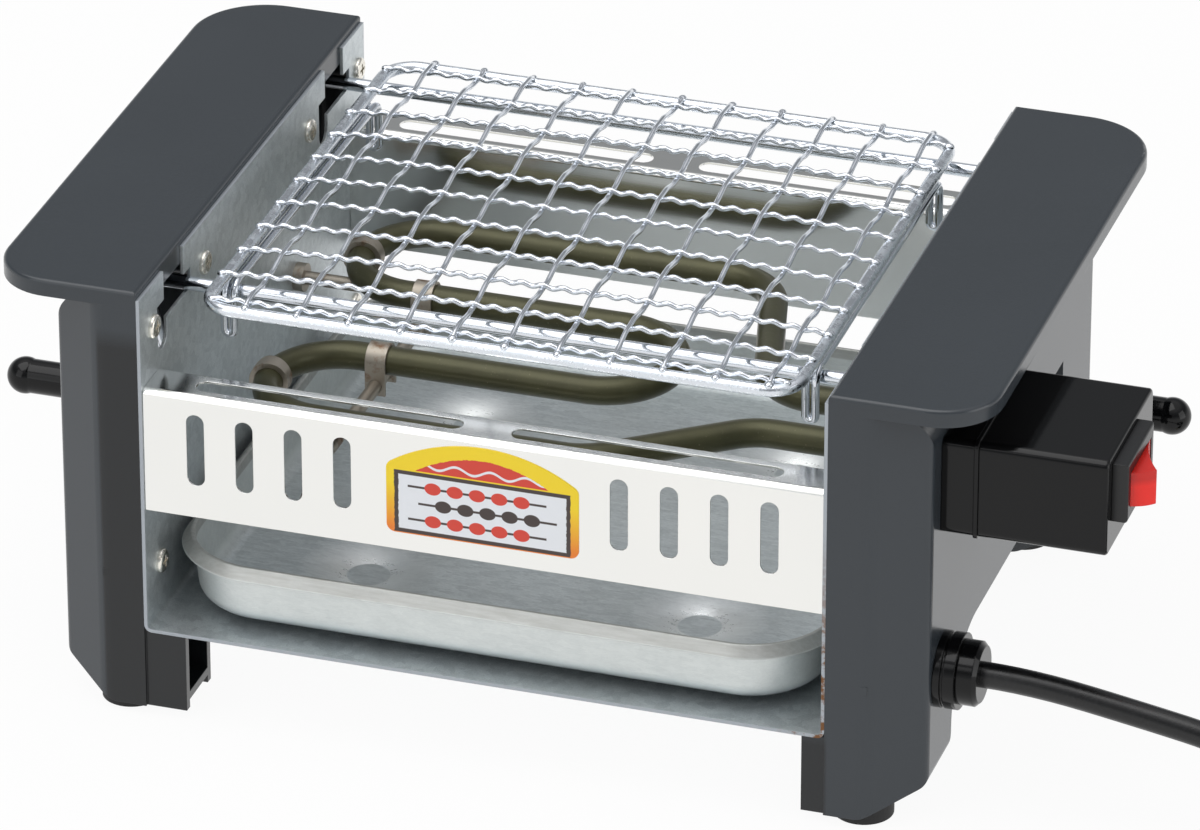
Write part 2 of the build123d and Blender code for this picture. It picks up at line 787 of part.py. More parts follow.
# Drip tray: a pan with a lip turned down, on four feet pressed out of its floor
tray_bottom = trough_floor + tray_clearance
tray_base = tray_bottom + tray_foot_depth
tray_top = tray_bottom + tray_height
lip_bottom = tray_top - tray_lip_drop
wall_inside = tray_draft - tray_sheet
tray_feet = [
    (x * (tray_half_width - tray_foot_side_inset), y * (tray_half_depth - tray_foot_end_inset))
    for x in (-1, 1)
    for y in (-1, 1)
]
with BuildPart() as foot_bowl:
    with BuildSketch(Plane.XZ):
        with BuildLine():
            Polyline(
                (tray_foot_spread, 0),
                (0, 0),
                (0, -tray_foot_depth),
                (tray_foot_radius, -tray_foot_depth),
            )
            TangentArc(
                (tray_foot_spread, 0),
                (tray_foot_radius, -tray_foot_depth),
                tangent=(-1, 0),
            )
        make_face()
    revolve(axis=Axis.Z)
with BuildPart() as drip_tray:
    add(tray_form((tray_lip_reach, lip_bottom), (wall_inside + tray_lip_width, tray_top)))
    add(
        tray_form((tray_lip_reach - tray_lip_width, lip_bottom), (wall_inside, tray_top)),
        mode=Mode.SUBTRACT,
    )
    add(tray_form((0, tray_base), (tray_draft, tray_top), base_round=tray_base_round))
    for x, y in tray_feet:
        add(foot_bowl.part.moved(Location((x, y, tray_base))))
    add(
        tray_form(
            (-tray_sheet, tray_base + tray_sheet),
            (wall_inside, tray_top),
            base_round=tray_base_round - tray_sheet,
        ),
        mode=Mode.SUBTRACT,
    )
    for x, y in tray_feet:
        add(
            foot_bowl.part.moved(Location((x, y, tray_base + tray_sheet))),
            mode=Mode.SUBTRACT,
        )
    fillet(drip_tray.faces().sort_by(Axis.Z)[-1].edges(), radius=tray_lip_round)
save(drip_tray.part, "drip_tray")


def cranked_rod(side, rod_y, knob_y):
    """A rod across the grill whose one end drops inside the leg and leaves through the wall."""
    return wire_along(
        [
            (-side * (trough_half_width + rod_end_reach), rod_y, rod_z),
            (side * (wall_x - crank_inset), rod_y, rod_z),
            (side * (wall_x - crank_inset), knob_y, knob_z),
            (side * knob_bore_end, knob_y, knob_z),
        ],
        rod_bend,
        rod_radius,
    )


save(cranked_rod(-1, front_rod_y, front_knob_y), "front_rod")
save(cranked_rod(1, rear_rod_y, rear_knob_y), "rear_rod")


def knob(knob_y):
    """A sleeve with a ball end, turned about the rod's outer end, drawn for the right side."""
    ball_x = knob_tip - knob_ball_radius
    join_x = ball_x - sqrt(knob_ball_radius**2 - knob_radius**2)
    bore = rod_radius + knob_fit
    with BuildPart() as turned:
        with BuildSketch(Plane(origin=(0, knob_y, knob_z), x_dir=(1, 0, 0), z_dir=(0, -1, 0))):
            with BuildLine():
                Polyline((join_x, knob_radius), (knob_start, knob_radius), (knob_start, bore))
                Polyline((knob_start, bore), (knob_bore_end, bore), (knob_bore_end, 0), (knob_tip, 0))
                ThreePointArc(
                    (knob_tip, 0),
                    (
                        ball_x + knob_ball_radius * cos(pi / 4),
                        knob_ball_radius * sin(pi / 4),
                    ),
                    (join_x, knob_radius),
                )
            make_face()
        revolve(axis=Axis((0, knob_y, knob_z), (1, 0, 0)))
    return turned.part


save(knob(rear_knob_y), "right_knob")
save(knob(front_knob_y).mirror(Plane.YZ), "left_knob")

# Net: a border wire, a grid welded on top of it and two rails under it that lie on the rods
rail_z = rod_z + rod_radius + net_seat_gap + rail_wire / 2
border_z = rail_z + rail_wire / 2 + net_weld_gap + net_wire / 2
net_half_width = inner_half_width - net_side_gap
net_front = front_rod_y - net_front_overhang
net_rear = rear_rod_y + net_rear_overhang
mesh_columns = round(2 * net_half_width / mesh_pitch_x)
mesh_rows = round((net_rear - net_front) / mesh_pitch_y)
save(
    wire_along(
        [
            (-net_half_width, net_front, border_z),
            (net_half_width, net_front, border_z),
            (net_half_width, net_rear, border_z),
            (-net_half_width, net_rear, border_z),
        ],
        net_corner,
        net_wire / 2,
        closed=True,
    ),
    "net_border",
)
with BuildPart() as net_grid:
    with BuildSketch(Plane.XY.offset(border_z + net_wire / 2 + net_weld_gap)):
        with Locations((mesh_shift_x, (net_front + net_rear) / 2)):
            with GridLocations(mesh_pitch_x, 0, mesh_columns, 1):
                Rectangle(mesh_wire, net_rear - net_front)
        with Locations((0, (net_front + net_rear) / 2 + mesh_shift_y)):
            with GridLocations(0, mesh_pitch_y, 1, mesh_rows):
                Rectangle(2 * net_half_width, mesh_wire)
    extrude(amount=mesh_thickness)
save(net_grid.part, "net_grid")


def net_rail(side):
    """Two wires side by side, closed by a hairpin that hangs down in front of each rod."""
    near_x = side * (net_half_width - rail_inset) - rail_spacing / 2
    far_x = near_x + rail_spacing
    rail_front_y = front_rod_y - rail_front_lead
    rail_rear_y = rear_rod_y - rail_rear_lead
    rail_bottom_z = rod_z - rail_drop
    hairpin = rail_spacing / 2 - hairpin_slack
    return wire_along(
        [
            (near_x, rail_front_y, rail_z),
            (near_x, rail_front_y, rail_bottom_z),
            (far_x, rail_front_y, rail_bottom_z),
            (far_x, rail_front_y, rail_z),
            (far_x, rail_rear_y, rail_z),
            (far_x, rail_rear_y, rail_bottom_z),
            (near_x, rail_rear_y, rail_bottom_z),
            (near_x, rail_rear_y, rail_z),
        ],
        [rail_bend, hairpin, hairpin, rail_bend, rail_bend, hairpin, hairpin, rail_bend],
        rail_wire / 2,
        closed=True,
    )


save(net_rail(-1), "left_net_rail")
save(net_rail(1), "right_net_rail")

# Heater: one tube bent to and fro, with both ends through the right side plate
turn_radius = heater_pitch / 2 - heater_turn_slack
heater_tube = wire_along(
    [
        (heater_exit_x, heater_exits[0], heater_z),
        (inner_half_width - heater_front_corner_gaps[1], heater_exits[0], heater_z),
        (inner_half_width - heater_front_corner_gaps[0], heater_runs[0], heater_z),
        (heater_left_x, heater_runs[0], heater_z),
        (heater_left_x, heater_runs[1], heater_z),
        (heater_right_x, heater_runs[1], heater_z),
        (heater_right_x, heater_runs[2], heater_z),
        (heater_left_x, heater_runs[2], heater_z),
        (heater_left_x, heater_runs[3], heater_z),
        (inner_half_width - heater_rear_corner_gaps[0], heater_runs[3], heater_z),
        (inner_half_width - heater_rear_corner_gaps[1], heater_exits[1], heater_z),
        (heater_exit_x, heater_exits[1], heater_z),
    ],
    [heater_corner_radius] * 2 + [turn_radius] * 6 + [heater_corner_radius] * 2,
    heater_radius,
)
save(heater_tube, "heater_tube")

# Ceramic seals and terminal pins at the heater's ends, inside the right leg
with BuildPart() as heater_seals:
    with BuildSketch(Plane.YZ.offset(heater_exit_x)):
        with Locations(*[(y, heater_z) for y in heater_exits]):
            Circle(heater_radius + seal_wall)
            Circle(pin_radius + collar_fit, mode=Mode.SUBTRACT)
    extrude(amount=seal_length)
save(heater_seals.part, "heater_seals")
with BuildPart() as heater_pins:
    with BuildSketch(Plane.YZ.offset(heater_exit_x)):
        with Locations(*[(y, heater_z) for y in heater_exits]):
            Circle(pin_radius)
    extrude(amount=pin_end_x - heater_exit_x)
save(heater_pins.part, "heater_pins")

# Steel collars on the two left bends, bent with the tube
collar_half_turn = collar_length / turn_radius / 2
with BuildPart() as heater_collars:
    for run in (0, 2):
        bend_centre = (
            heater_left_x + turn_radius,
            (heater_runs[run] + heater_runs[run + 1]) / 2,
            heater_z,
        )
        collar_start = Plane(
            origin=bend_centre,
            x_dir=(-cos(collar_half_turn), sin(collar_half_turn), 0),
            z_dir=(-sin(collar_half_turn), -cos(collar_half_turn), 0),
        )
        with BuildSketch(collar_start):
            with Locations((turn_radius, 0)):
                Circle(heater_radius + collar_wall + collar_fit)
                Circle(heater_radius + collar_fit, mode=Mode.SUBTRACT)
        revolve(
            axis=Axis(bend_centre, (0, 0, 1)),
            revolution_arc=degrees(2 * collar_half_turn),
        )
save(heater_collars.part, "heater_collars")

# Stay: a rod from the left side plate that turns forward under the heater, then drops to end behind
# the front panel's blank lower edge
strap_x = heater_left_x + strap_offset
stay_end_z = stay_z - stay_drop
heater_stay = wire_along(
    [
        (-trough_half_width, stay_plate_y, stay_z),
        (strap_x, stay_plate_y, stay_z),
        (strap_x, stay_drop_insets[0] - trough_half_depth, stay_z),
        (strap_x, stay_drop_insets[1] - trough_half_depth, stay_end_z),
        (strap_x, panel_faces[0] + panel_sheet, stay_end_z),
    ],
    stay_bend,
    stay_radius,
)
save(heater_stay, "heater_stay")
with BuildPart() as stay_ring:
    with BuildSketch(Plane.YZ.offset(-inner_half_width)):
        with Locations((stay_plate_y, stay_z)):
            Circle(stay_radius + stay_ring_wall + collar_fit)
            Circle(stay_radius + collar_fit, mode=Mode.SUBTRACT)
    extrude(amount=stay_ring_length)
save(stay_ring.part, "stay_ring")

# Straps that hang the heater's two middle runs on the stay
with BuildPart() as heater_straps:
    strap_inner = heater_radius + collar_fit
    strap_low_z = stay_z - stay_radius - strap_sheet
    for run in (1, 2):
        with BuildSketch(Plane.YZ.offset(strap_x - strap_width / 2)):
            with Locations((heater_runs[run], heater_z)):
                Circle(strap_inner + strap_sheet)
                Rectangle(
                    2 * (strap_inner + strap_sheet),
                    heater_z - strap_low_z,
                    align=(Align.CENTER, Align.MAX),
                )
                Circle(strap_inner, mode=Mode.SUBTRACT)
                Rectangle(
                    2 * strap_inner,
                    heater_z - strap_low_z,
                    align=(Align.CENTER, Align.MAX),
                    mode=Mode.SUBTRACT,
                )
        extrude(amount=strap_width)
    with BuildSketch(Plane.XZ.offset(trough_half_depth)):
        with Locations((strap_x, stay_z)):
            Circle(stay_radius + collar_fit)
    extrude(amount=-2 * trough_half_depth, mode=Mode.SUBTRACT)
save(heater_straps.part, "heater_straps")


def box_shell(start_x, end_x, end_wall):
    """A length of the switch box: four walls, rounded along, and a closed end where one is asked."""
    with BuildPart() as shell:
        with BuildSketch(Plane.YZ.offset(start_x)):
            with Locations((box_mid_y, box_mid_z)):
                RectangleRounded(box_length, box_height, box_edge_round)
        extrude(amount=end_x - start_x)
        if end_wall:
            fillet(shell.faces().sort_by(Axis.X)[-1].edges(), radius=box_wall / 2)
        with BuildSketch(Plane.YZ.offset(start_x)):
            with Locations((box_mid_y, box_mid_z)):
                RectangleRounded(
                    box_length - 2 * box_wall,
                    box_height - 2 * box_wall,
                    box_edge_round / 2,
                )
        extrude(amount=end_x - start_x - (box_wall if end_wall else 0), mode=Mode.SUBTRACT)
    return shell.part


# Switch box: a base on the right leg's wall and a cover with the switch in its end
with BuildPart() as switch_box_base:
    add(box_shell(wall_x, box_parting_x, end_wall=False))
    with BuildSketch(Plane.YZ.offset(box_parting_x - box_ridge_width)):
        with Locations((box_mid_y, box_mid_z)):
            RectangleRounded(
                box_length + 2 * box_ridge,
                box_height + 2 * box_ridge,
                box_edge_round,
            )
            Rectangle(
                box_length - 2 * box_wall,
                box_height - 2 * box_wall,
                mode=Mode.SUBTRACT,
            )
    extrude(amount=box_ridge_width)
save(switch_box_base.part, "switch_box_base")
with BuildPart() as switch_box_cover:
    add(box_shell(box_parting_x, box_end_x, end_wall=True))
    with BuildSketch(Plane.YZ.offset(box_end_x - box_wall)):
        with Locations((bezel_mid_y, bezel_mid_z)):
            Rectangle(body_length + 2 * body_clearance, body_height + 2 * body_clearance)
    extrude(amount=box_wall, mode=Mode.SUBTRACT)
save(switch_box_cover.part, "switch_box_cover")

# Switch body with its bezel, open at the front for the rocker
pocket_floor_x = rocker_pivot_x - rocker_root_radius - rocker_gap
with BuildPart() as switch_body:
    with BuildSketch(Plane.YZ.offset(box_end_x)):
        with Locations((bezel_mid_y, bezel_mid_z)):
            Rectangle(
                body_length + 2 * bezel_border[0],
                body_height + 2 * bezel_border[1],
            )
    extrude(amount=bezel_thickness)
    fillet(switch_body.faces().sort_by(Axis.X)[-1].edges(), radius=bezel_round)
    with BuildSketch(Plane.YZ.offset(box_end_x - body_depth)):
        with Locations((bezel_mid_y, bezel_mid_z)):
            Rectangle(body_length, body_height)
    extrude(amount=body_depth)
    with BuildSketch(Plane.YZ.offset(pocket_floor_x)):
        with Locations((bezel_mid_y, bezel_mid_z)):
            Rectangle(2 * pocket_half_length, pocket_height)
    extrude(amount=box_end_x + bezel_thickness - pocket_floor_x, mode=Mode.SUBTRACT)
    with BuildSketch(Plane.XY.offset(bezel_mid_z - rocker_height / 2 - pivot_reach)):
        with Locations((rocker_pivot_x, bezel_mid_y)):
            Circle(pivot_radius)
    extrude(amount=rocker_height + 2 * pivot_reach, mode=Mode.SUBTRACT)
save(switch_body.part, "switch_body")
with BuildPart() as rocker_pin:
    with BuildSketch(Plane.XY.offset(bezel_mid_z - rocker_height / 2 - pivot_reach)):
        with Locations((rocker_pivot_x, bezel_mid_y)):
            Circle(pivot_radius)
    extrude(amount=rocker_height + 2 * pivot_reach)
save(rocker_pin.part, "rocker_pin")

# Rocker: round ends about its pivot and a dished face, tilted so that its front end stands out
end_low_angle = radians(112)
rocker_frame = Plane(
    origin=(rocker_pivot_x, bezel_mid_y, bezel_mid_z - rocker_height / 2),
    x_dir=(cos(radians(rocker_tilt)), sin(radians(rocker_tilt)), 0),
    z_dir=(0, 0, 1),
)
with BuildPart() as rocker:
    with BuildSketch(rocker_frame):
        with BuildLine():
            ThreePointArc(
                (rocker_rise, -rocker_half_length),
                (rocker_rise - rocker_dish, 0),
                (rocker_rise, rocker_half_length),
            )
            end_foot = (
                rocker_end_radius * cos(end_low_angle),
                rocker_end_radius * sin(end_low_angle),
            )
            RadiusArc((rocker_rise, rocker_half_length), end_foot, -rocker_end_radius)
            Polyline(
                end_foot,
                (-rocker_depth, rocker_root_half),
                (-rocker_depth, -rocker_root_half),
                (end_foot[0], -end_foot[1]),
            )
            RadiusArc(
                (end_foot[0], -end_foot[1]),
                (rocker_rise, -rocker_half_length),
                -rocker_end_radius,
            )
        make_face()
        Circle(pivot_radius + pivot_fit, mode=Mode.SUBTRACT)
    extrude(amount=rocker_height)
save(rocker.part, "rocker")

# Switch terminals, pointing back into the box
with BuildPart() as switch_terminals:
    with BuildSketch(Plane.YZ.offset(box_end_x - body_depth)):
        with Locations((bezel_mid_y, bezel_mid_z)):
            with GridLocations(blade_pitch, 0, 2, 1):
                Rectangle(blade_sheet, blade_width)
    extrude(amount=-blade_length)
save(switch_terminals.part, "switch_terminals")

# Gland: a flanged barrel through the leg's wall, its back nut inside and its cap nut outside
with BuildPart() as cord_gland:
    with BuildSketch(Plane.YZ.offset(wall_x)):
        with Locations((gland_y, gland_z)):
            Circle(gland_flange_radius)
    extrude(amount=gland_flange_length)
    with BuildSketch(Plane.YZ.offset(wall_x + gland_flange_length / 3)):
        with Locations((gland_y, gland_z)):
            Circle(gland_flange_radius)
            Circle(gland_flange_radius - gland_groove, mode=Mode.SUBTRACT)
    extrude(amount=gland_groove, mode=Mode.SUBTRACT)
    with BuildSketch(Plane.YZ.offset(wall_x)):
        with Locations((gland_y, gland_z)):
            Circle(gland_barrel_radius)
    extrude(amount=-leg_wall - back_nut_length)
save(cord_gland.part, "cord_gland")
with BuildPart() as gland_back_nut:
    with BuildSketch(Plane.YZ.offset(wall_x - leg_wall - back_nut_length)):
        with Locations((gland_y, gland_z)):
            RegularPolygon(back_nut_width / 2, 6, major_radius=False)
            Circle(gland_barrel_radius + collar_fit, mode=Mode.SUBTRACT)
    extrude(amount=back_nut_length)
save(gland_back_nut.part, "gland_back_nut")
with BuildPart() as gland_cap:
    with BuildSketch(Plane.YZ.offset(wall_x + gland_flange_length)):
        with Locations((gland_y, gland_z)):
            Circle(gland_nut_radius)
    extrude(amount=gland_nut_length)
    chamfer(gland_cap.faces().sort_by(Axis.X)[-1].edges(), length=1.2)
save(gland_cap.part, "gland_cap")


def cord_radii(points):
    """Each corner's radius: 0.45 of its shorter run, divided by the tangent of half its turn."""
    runs = [b - a for a, b in zip(points, points[1:])]
    radii = []
    for before, after in zip(runs, runs[1:]):
        half_turn = radians(before.get_angle(after)) / 2
        radii.append(0.45 * min(before.length, after.length) / tan(half_turn))
    return radii


# Mains lead: from the gland it sinks to the top of its coil
cord_points = [
    Vector(*point)
    for point in (
        (cord_exit_x, gland_y, gland_z),
        (152.0, gland_y, gland_z),
        (184.0, -72.0, 37.0),
        (207.0, -72.4, 33.0),
        (228.0, -72.6, 24.3),
        (252.5, coil_centre_y - coil_outer_radius, coil_high_z),
        (252.5 + cord_straight_end, coil_centre_y - coil_outer_radius, coil_high_z),
    )
]
cord_corner_radii = cord_radii(cord_points)
mains_cord = wire_along(cord_points, cord_corner_radii, cord_radius)
cord_length = mains_cord.volume / (pi * cord_radius**2)
print("cord radii", [round(r, 1) for r in cord_corner_radii])
save(mains_cord, "mains_cord")


def coil_node(k):
    """Place and direction of the coil's middle line after k quarter turns, 0 at the reversal."""
    angle = pi / 2 * (k + coil_quarters) - pi / 2
    radius = coil_inner_radius + coil_step * abs(k) / 4
    height = (coil_high_z + coil_low_z) / 2
    if k:
        height = coil_high_z if k < 0 else coil_low_z
    drift = 0 if k == 0 or abs(k) == coil_quarters else coil_step / (2 * pi) * (1 if k > 0 else -1)
    climb = -coil_climb * coil_layer / (pi / 2) if k == 0 else 0
    place = Vector(
        coil_centre_x + radius * cos(angle),
        coil_centre_y + radius * sin(angle),
        height,
    )
    heading = Vector(
        drift * cos(angle) - radius * sin(angle),
        drift * sin(angle) + radius * cos(angle),
        climb,
    )
    return place, heading.normalized()


def biarc(start, start_heading, end, end_heading):
    """Two arcs that share a tangent where they meet, from one place and direction to another."""
    gap = end - start
    both = start_heading + end_heading
    a = 2 * (1 - start_heading.dot(end_heading))
    b = 2 * gap.dot(both)
    reach = (-b + sqrt(b * b + 4 * a * gap.dot(gap))) / (2 * a)
    near = start + start_heading * reach
    far = end - end_heading * reach
    middle = (near + far) * 0.5
    TangentArc(start, middle, tangent=start_heading)
    TangentArc(middle, end, tangent=far - near)


# Coil: the rest of the lead, spiralled in over two layers and out again, with a straight tail
coil_nodes = [coil_node(k) for k in range(-coil_quarters, coil_quarters + 1)]
coil_start, coil_start_heading = coil_nodes[0]
coil_end, coil_end_heading = coil_nodes[-1]
plug_start = coil_end + coil_end_heading * coil_tail
with BuildPart() as cord_coil:
    with BuildLine() as coil_path:
        Line(cord_points[-1], coil_start)
        for (place, heading), (next_place, next_heading) in zip(coil_nodes, coil_nodes[1:]):
            biarc(place, heading, next_place, next_heading)
        Line(coil_end, plug_start)
    with BuildSketch(Plane(origin=cord_points[-1], z_dir=coil_start_heading)):
        Circle(cord_radius)
    sweep(path=coil_path.line)
save(cord_coil.part, "cord_coil")
coil_length = sum(edge.length for edge in coil_path.edges())
coil_ratio = cord_coil.part.volume / (pi * cord_radius**2 * coil_length)
print("coil volume over section times length", round(coil_ratio, 5))
print("lead length", round(cord_length + coil_length, 1))

# The coil's turns must stay clear of each other
coil_wire = coil_path.wires()[0]
coil_samples = 500
coil_places = [tuple(coil_wire @ (i / coil_samples)) for i in range(coil_samples + 1)]
apart = int(3 * cord_diameter / coil_length * coil_samples)
least = min(
    dist(coil_places[i], coil_places[j])
    for i in range(coil_samples)
    for j in range(i + apart, coil_samples + 1)
)
print("least gap between the coil's turns", round(least - cord_diameter, 3))

# Tie: a strap round all the turns on the coil's far side, with its head on top
tie_inner_x = coil_centre_x + coil_inner_radius + coil_step / 2 - cord_radius - tie_gap
tie_radius = coil_inner_radius + coil_step * (coil_quarters - 1) / 4
tie_outer_x = coil_centre_x + tie_radius + cord_radius + tie_gap
tie_low_z = coil_low_z - cord_radius - tie_gap
tie_high_z = coil_high_z + cord_radius + tie_gap
with BuildPart() as cord_tie:
    with BuildSketch(Plane.XZ.offset(-coil_centre_y - tie_width / 2)):
        with Locations(((tie_inner_x + tie_outer_x) / 2, (tie_low_z + tie_high_z) / 2)):
            RectangleRounded(
                tie_outer_x - tie_inner_x + 2 * tie_sheet,
                tie_high_z - tie_low_z + 2 * tie_sheet,
                cord_radius + tie_sheet,
            )
            RectangleRounded(
                tie_outer_x - tie_inner_x,
                tie_high_z - tie_low_z,
                cord_radius,
                mode=Mode.SUBTRACT,
            )
    extrude(amount=tie_width)
    with Locations(((tie_inner_x + tie_outer_x) / 2, coil_centre_y, tie_high_z)):
        Box(tie_head, tie_width + 1, tie_head / 2, align=(Align.CENTER, Align.CENTER, Align.MIN))
save(cord_tie.part, "cord_tie")

# Plug: a sleeve on the cord, a flat body that widens to its face, and two flat blades
plug_neck_x = plug_start.X - plug_sleeve_length
plug_face_x = plug_neck_x - plug_length
plug_low_z = plug_height - plug_thickness / 2
with BuildPart() as plug_body:
    with BuildSketch(Plane.XY.offset(plug_low_z)):
        with BuildLine():
            Polyline(
                (plug_neck_x, plug_start.Y - plug_neck_width / 2),
                (plug_neck_x, plug_start.Y + plug_neck_width / 2),
                (plug_neck_x - plug_length / 2, plug_start.Y + plug_width / 2),
                (plug_face_x, plug_start.Y + plug_width / 2),
                (plug_face_x, plug_start.Y - plug_width / 2),
                (plug_neck_x - plug_length / 2, plug_start.Y - plug_width / 2),
                close=True,
            )
        make_face()
    extrude(amount=plug_thickness)
    fillet(plug_body.edges().filter_by(Axis.Z), radius=plug_edge_round)
    fillet(plug_body.faces().filter_by(Axis.Z).edges(), radius=plug_edge_round / 2)
    with BuildSketch(Plane.YZ.offset(plug_neck_x)):
        with Locations((plug_start.Y, coil_low_z)):
            Circle(cord_radius + plug_sleeve_wall)
    extrude(amount=plug_sleeve_length)
save(plug_body.part, "plug_body")
with BuildPart() as plug_blades:
    with BuildSketch(Plane.XZ.offset(-plug_start.Y - plug_blade_pitch / 2 - plug_blade_sheet / 2)):
        with Locations((plug_face_x, plug_height)):
            Rectangle(plug_blade_length, plug_blade_width, align=(Align.MAX, Align.CENTER))
        with Locations((plug_face_x - plug_blade_length + plug_blade_hole_inset, plug_height)):
            Circle(plug_blade_hole_radius, mode=Mode.SUBTRACT)
    extrude(amount=plug_blade_sheet)
    mirror(about=Plane.XZ.offset(-plug_start.Y))
save(plug_blades.part, "plug_blades")

# Wires inside the right leg: one core to the switch and on to the heater's front end, the other
# through a thermal fuse to its rear end
gland_inner_x = wall_x - leg_wall - back_nut_length
blade_tip_x = box_end_x - body_depth - blade_length
riser_x = wall_x - lead_riser_inset
turn_x = pin_end_x + lead_turn_reach
fuse_y = gland_y + fuse_lead
fuse_z = gland_z + fuse_rise
live_y = gland_y - lead_spacing / 2
neutral_y = gland_y + lead_spacing / 2
front_blade_y = bezel_mid_y - blade_pitch / 2
rear_blade_y = bezel_mid_y + blade_pitch / 2
live_lead = wire_along(
    [
        (gland_inner_x, live_y, gland_z),
        (riser_x, live_y, gland_z),
        (riser_x, live_y, gland_z + live_lead_rise),
        (riser_x, front_blade_y, bezel_mid_z),
        (blade_tip_x, front_blade_y, bezel_mid_z),
    ],
    lead_bend,
    lead_radius,
)
save(live_lead, "live_lead")
switched_lead = wire_along(
    [
        (blade_tip_x, rear_blade_y, bezel_mid_z),
        (turn_x, rear_blade_y, bezel_mid_z),
        (turn_x, heater_exits[0], heater_z),
        (pin_end_x, heater_exits[0], heater_z),
    ],
    [lead_bend, lead_tight_bend],
    lead_radius,
)
save(switched_lead, "switched_lead")
neutral_lead = wire_along(
    [
        (gland_inner_x, neutral_y, gland_z),
        (riser_x, neutral_y, gland_z),
        (riser_x, neutral_y, fuse_z),
        (riser_x, fuse_y, fuse_z),
    ],
    lead_bend,
    lead_radius,
)
save(neutral_lead, "neutral_lead")
with BuildPart() as thermal_fuse:
    with BuildSketch(Plane.XZ.offset(-fuse_y)):
        with Locations((riser_x, fuse_z)):
            Circle(fuse_radius)
    extrude(amount=-fuse_length)
    chamfer(thermal_fuse.edges(), length=fuse_radius / 3)
save(thermal_fuse.part, "thermal_fuse")
fused_lead = wire_along(
    [
        (riser_x, fuse_y + fuse_length, fuse_z),
        (riser_x, heater_exits[1], fuse_z),
        (turn_x, heater_exits[1], heater_z),
        (pin_end_x, heater_exits[1], heater_z),
    ],
    [lead_bend, lead_tight_bend],
    lead_radius,
)
save(fused_lead, "fused_lead")
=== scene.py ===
"""An electric skewer grill: its woven net, label, mains lead, finishes and studio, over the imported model.

Sizes are metres in the model's own frame, X to the right, Y to the back and Z up from the table.
"""
from math import cos, pi, radians

import bpy
import numpy as np
from bpy.props import FloatProperty, FloatVectorProperty, IntProperty, PointerProperty
from bpy.types import Operator, Panel, PropertyGroup
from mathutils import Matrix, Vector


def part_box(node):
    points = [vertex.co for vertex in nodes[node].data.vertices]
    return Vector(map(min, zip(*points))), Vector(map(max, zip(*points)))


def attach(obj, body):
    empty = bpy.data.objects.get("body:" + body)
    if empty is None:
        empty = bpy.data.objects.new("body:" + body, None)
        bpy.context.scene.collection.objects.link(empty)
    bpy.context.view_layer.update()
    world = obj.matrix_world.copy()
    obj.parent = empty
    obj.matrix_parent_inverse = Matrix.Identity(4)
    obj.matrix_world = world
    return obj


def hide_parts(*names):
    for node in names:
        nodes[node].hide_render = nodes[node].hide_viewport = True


bl_info = {
    "name": "Skewer grill",
    "version": (1, 0, 0),
    "blender": (4, 5, 0),
    "location": "3D View > Sidebar > Grill",
    "description": "Makes the net, label, lead, finishes and studio of an electric skewer grill",
    "category": "Object",
}

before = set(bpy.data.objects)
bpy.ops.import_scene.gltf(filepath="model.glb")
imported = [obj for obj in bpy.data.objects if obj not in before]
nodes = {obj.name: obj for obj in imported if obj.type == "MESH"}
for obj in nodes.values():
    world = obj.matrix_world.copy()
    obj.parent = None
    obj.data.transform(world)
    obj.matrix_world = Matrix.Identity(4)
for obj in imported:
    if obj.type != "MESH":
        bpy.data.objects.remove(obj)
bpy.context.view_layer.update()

MM = 0.001
MIDDLE_X = 9.3117 * MM                  # from the trough's middle to the model's origin
LABEL_MID_X = 0.75 * MM - MIDDLE_X
LABEL_MID_Z = 81.5 * MM
FOOT_X = 48.95 * MM                     # from the tray's middle to the middle of a pressed foot
FOOT_Y = 46.95 * MM


def tone(red, green, blue):
    """A screen colour of 0 to 255 as linear light, by the usual screen curve."""
    return tuple(
        (c / 255 / 12.92) if c < 11 else ((c / 255 + 0.055) / 1.055) ** 2.4
        for c in (red, green, blue)
    )


def colour(name, description, *screen):
    return FloatVectorProperty(
        name=name,
        description=description,
        subtype="COLOR",
        size=3,
        min=0,
        max=1,
        default=tone(*screen),
    )


def size(name, description, default):
    return FloatProperty(
        name=name,
        description=description,
        default=default,
        unit="LENGTH",
        precision=5,
    )


class NetSizes(PropertyGroup):
    wire: size("Mesh wire", "Diameter of the woven wires", 1.5 * MM)
    pitch_across: size("Pitch across", "From one front-to-back wire to the next", 15.03 * MM)
    pitch_along: size("Pitch along", "From one left-to-right wire to the next", 15.33 * MM)
    shift_across: size("Shift across", "Middle wire to the right of the border's middle", 3.1 * MM)
    shift_along: size("Shift along", "Middle wire behind the border's middle", -2 * MM)
    half_width: size("Half width", "From the middle to the border wire's side runs", 85 * MM)
    front: size("Front run", "Place of the border wire's front run", -80.4 * MM)
    back: size("Back run", "Place of the border wire's back run", 82.3 * MM)
    corner: size("Corner", "Radius of the border wire's corners", 9 * MM)
    middle_height: size("Height", "Height of the mesh's middle, where it bulges most", 128.6 * MM)
    end_height: size("End height", "Height of a wire's end on the border wire", 126.4 * MM)
    fine_wave: size("Fine wave", "Height of the waves in the left-to-right wires", 0.4 * MM)
    broad_wave: size("Broad wave", "Height of the waves in the front-to-back wires", 0.7 * MM)
    wires: IntProperty(name="Wires", description="Wires each way", default=11, min=3)


class LeadSizes(PropertyGroup):
    diameter: size("Diameter", "Outside diameter of the lead", 7.4 * MM)
    length: size("Length", "Length from the gland to the plug", 1.4571)
    coil_radius: size("Coil radius", "Radius of the coil's innermost turn", 26 * MM)
    coil_step: size("Coil step", "Radius gained in each turn", 8 * MM)
    coil_turns: FloatProperty(name="Coil turns", description="Turns in each layer", default=2.75)


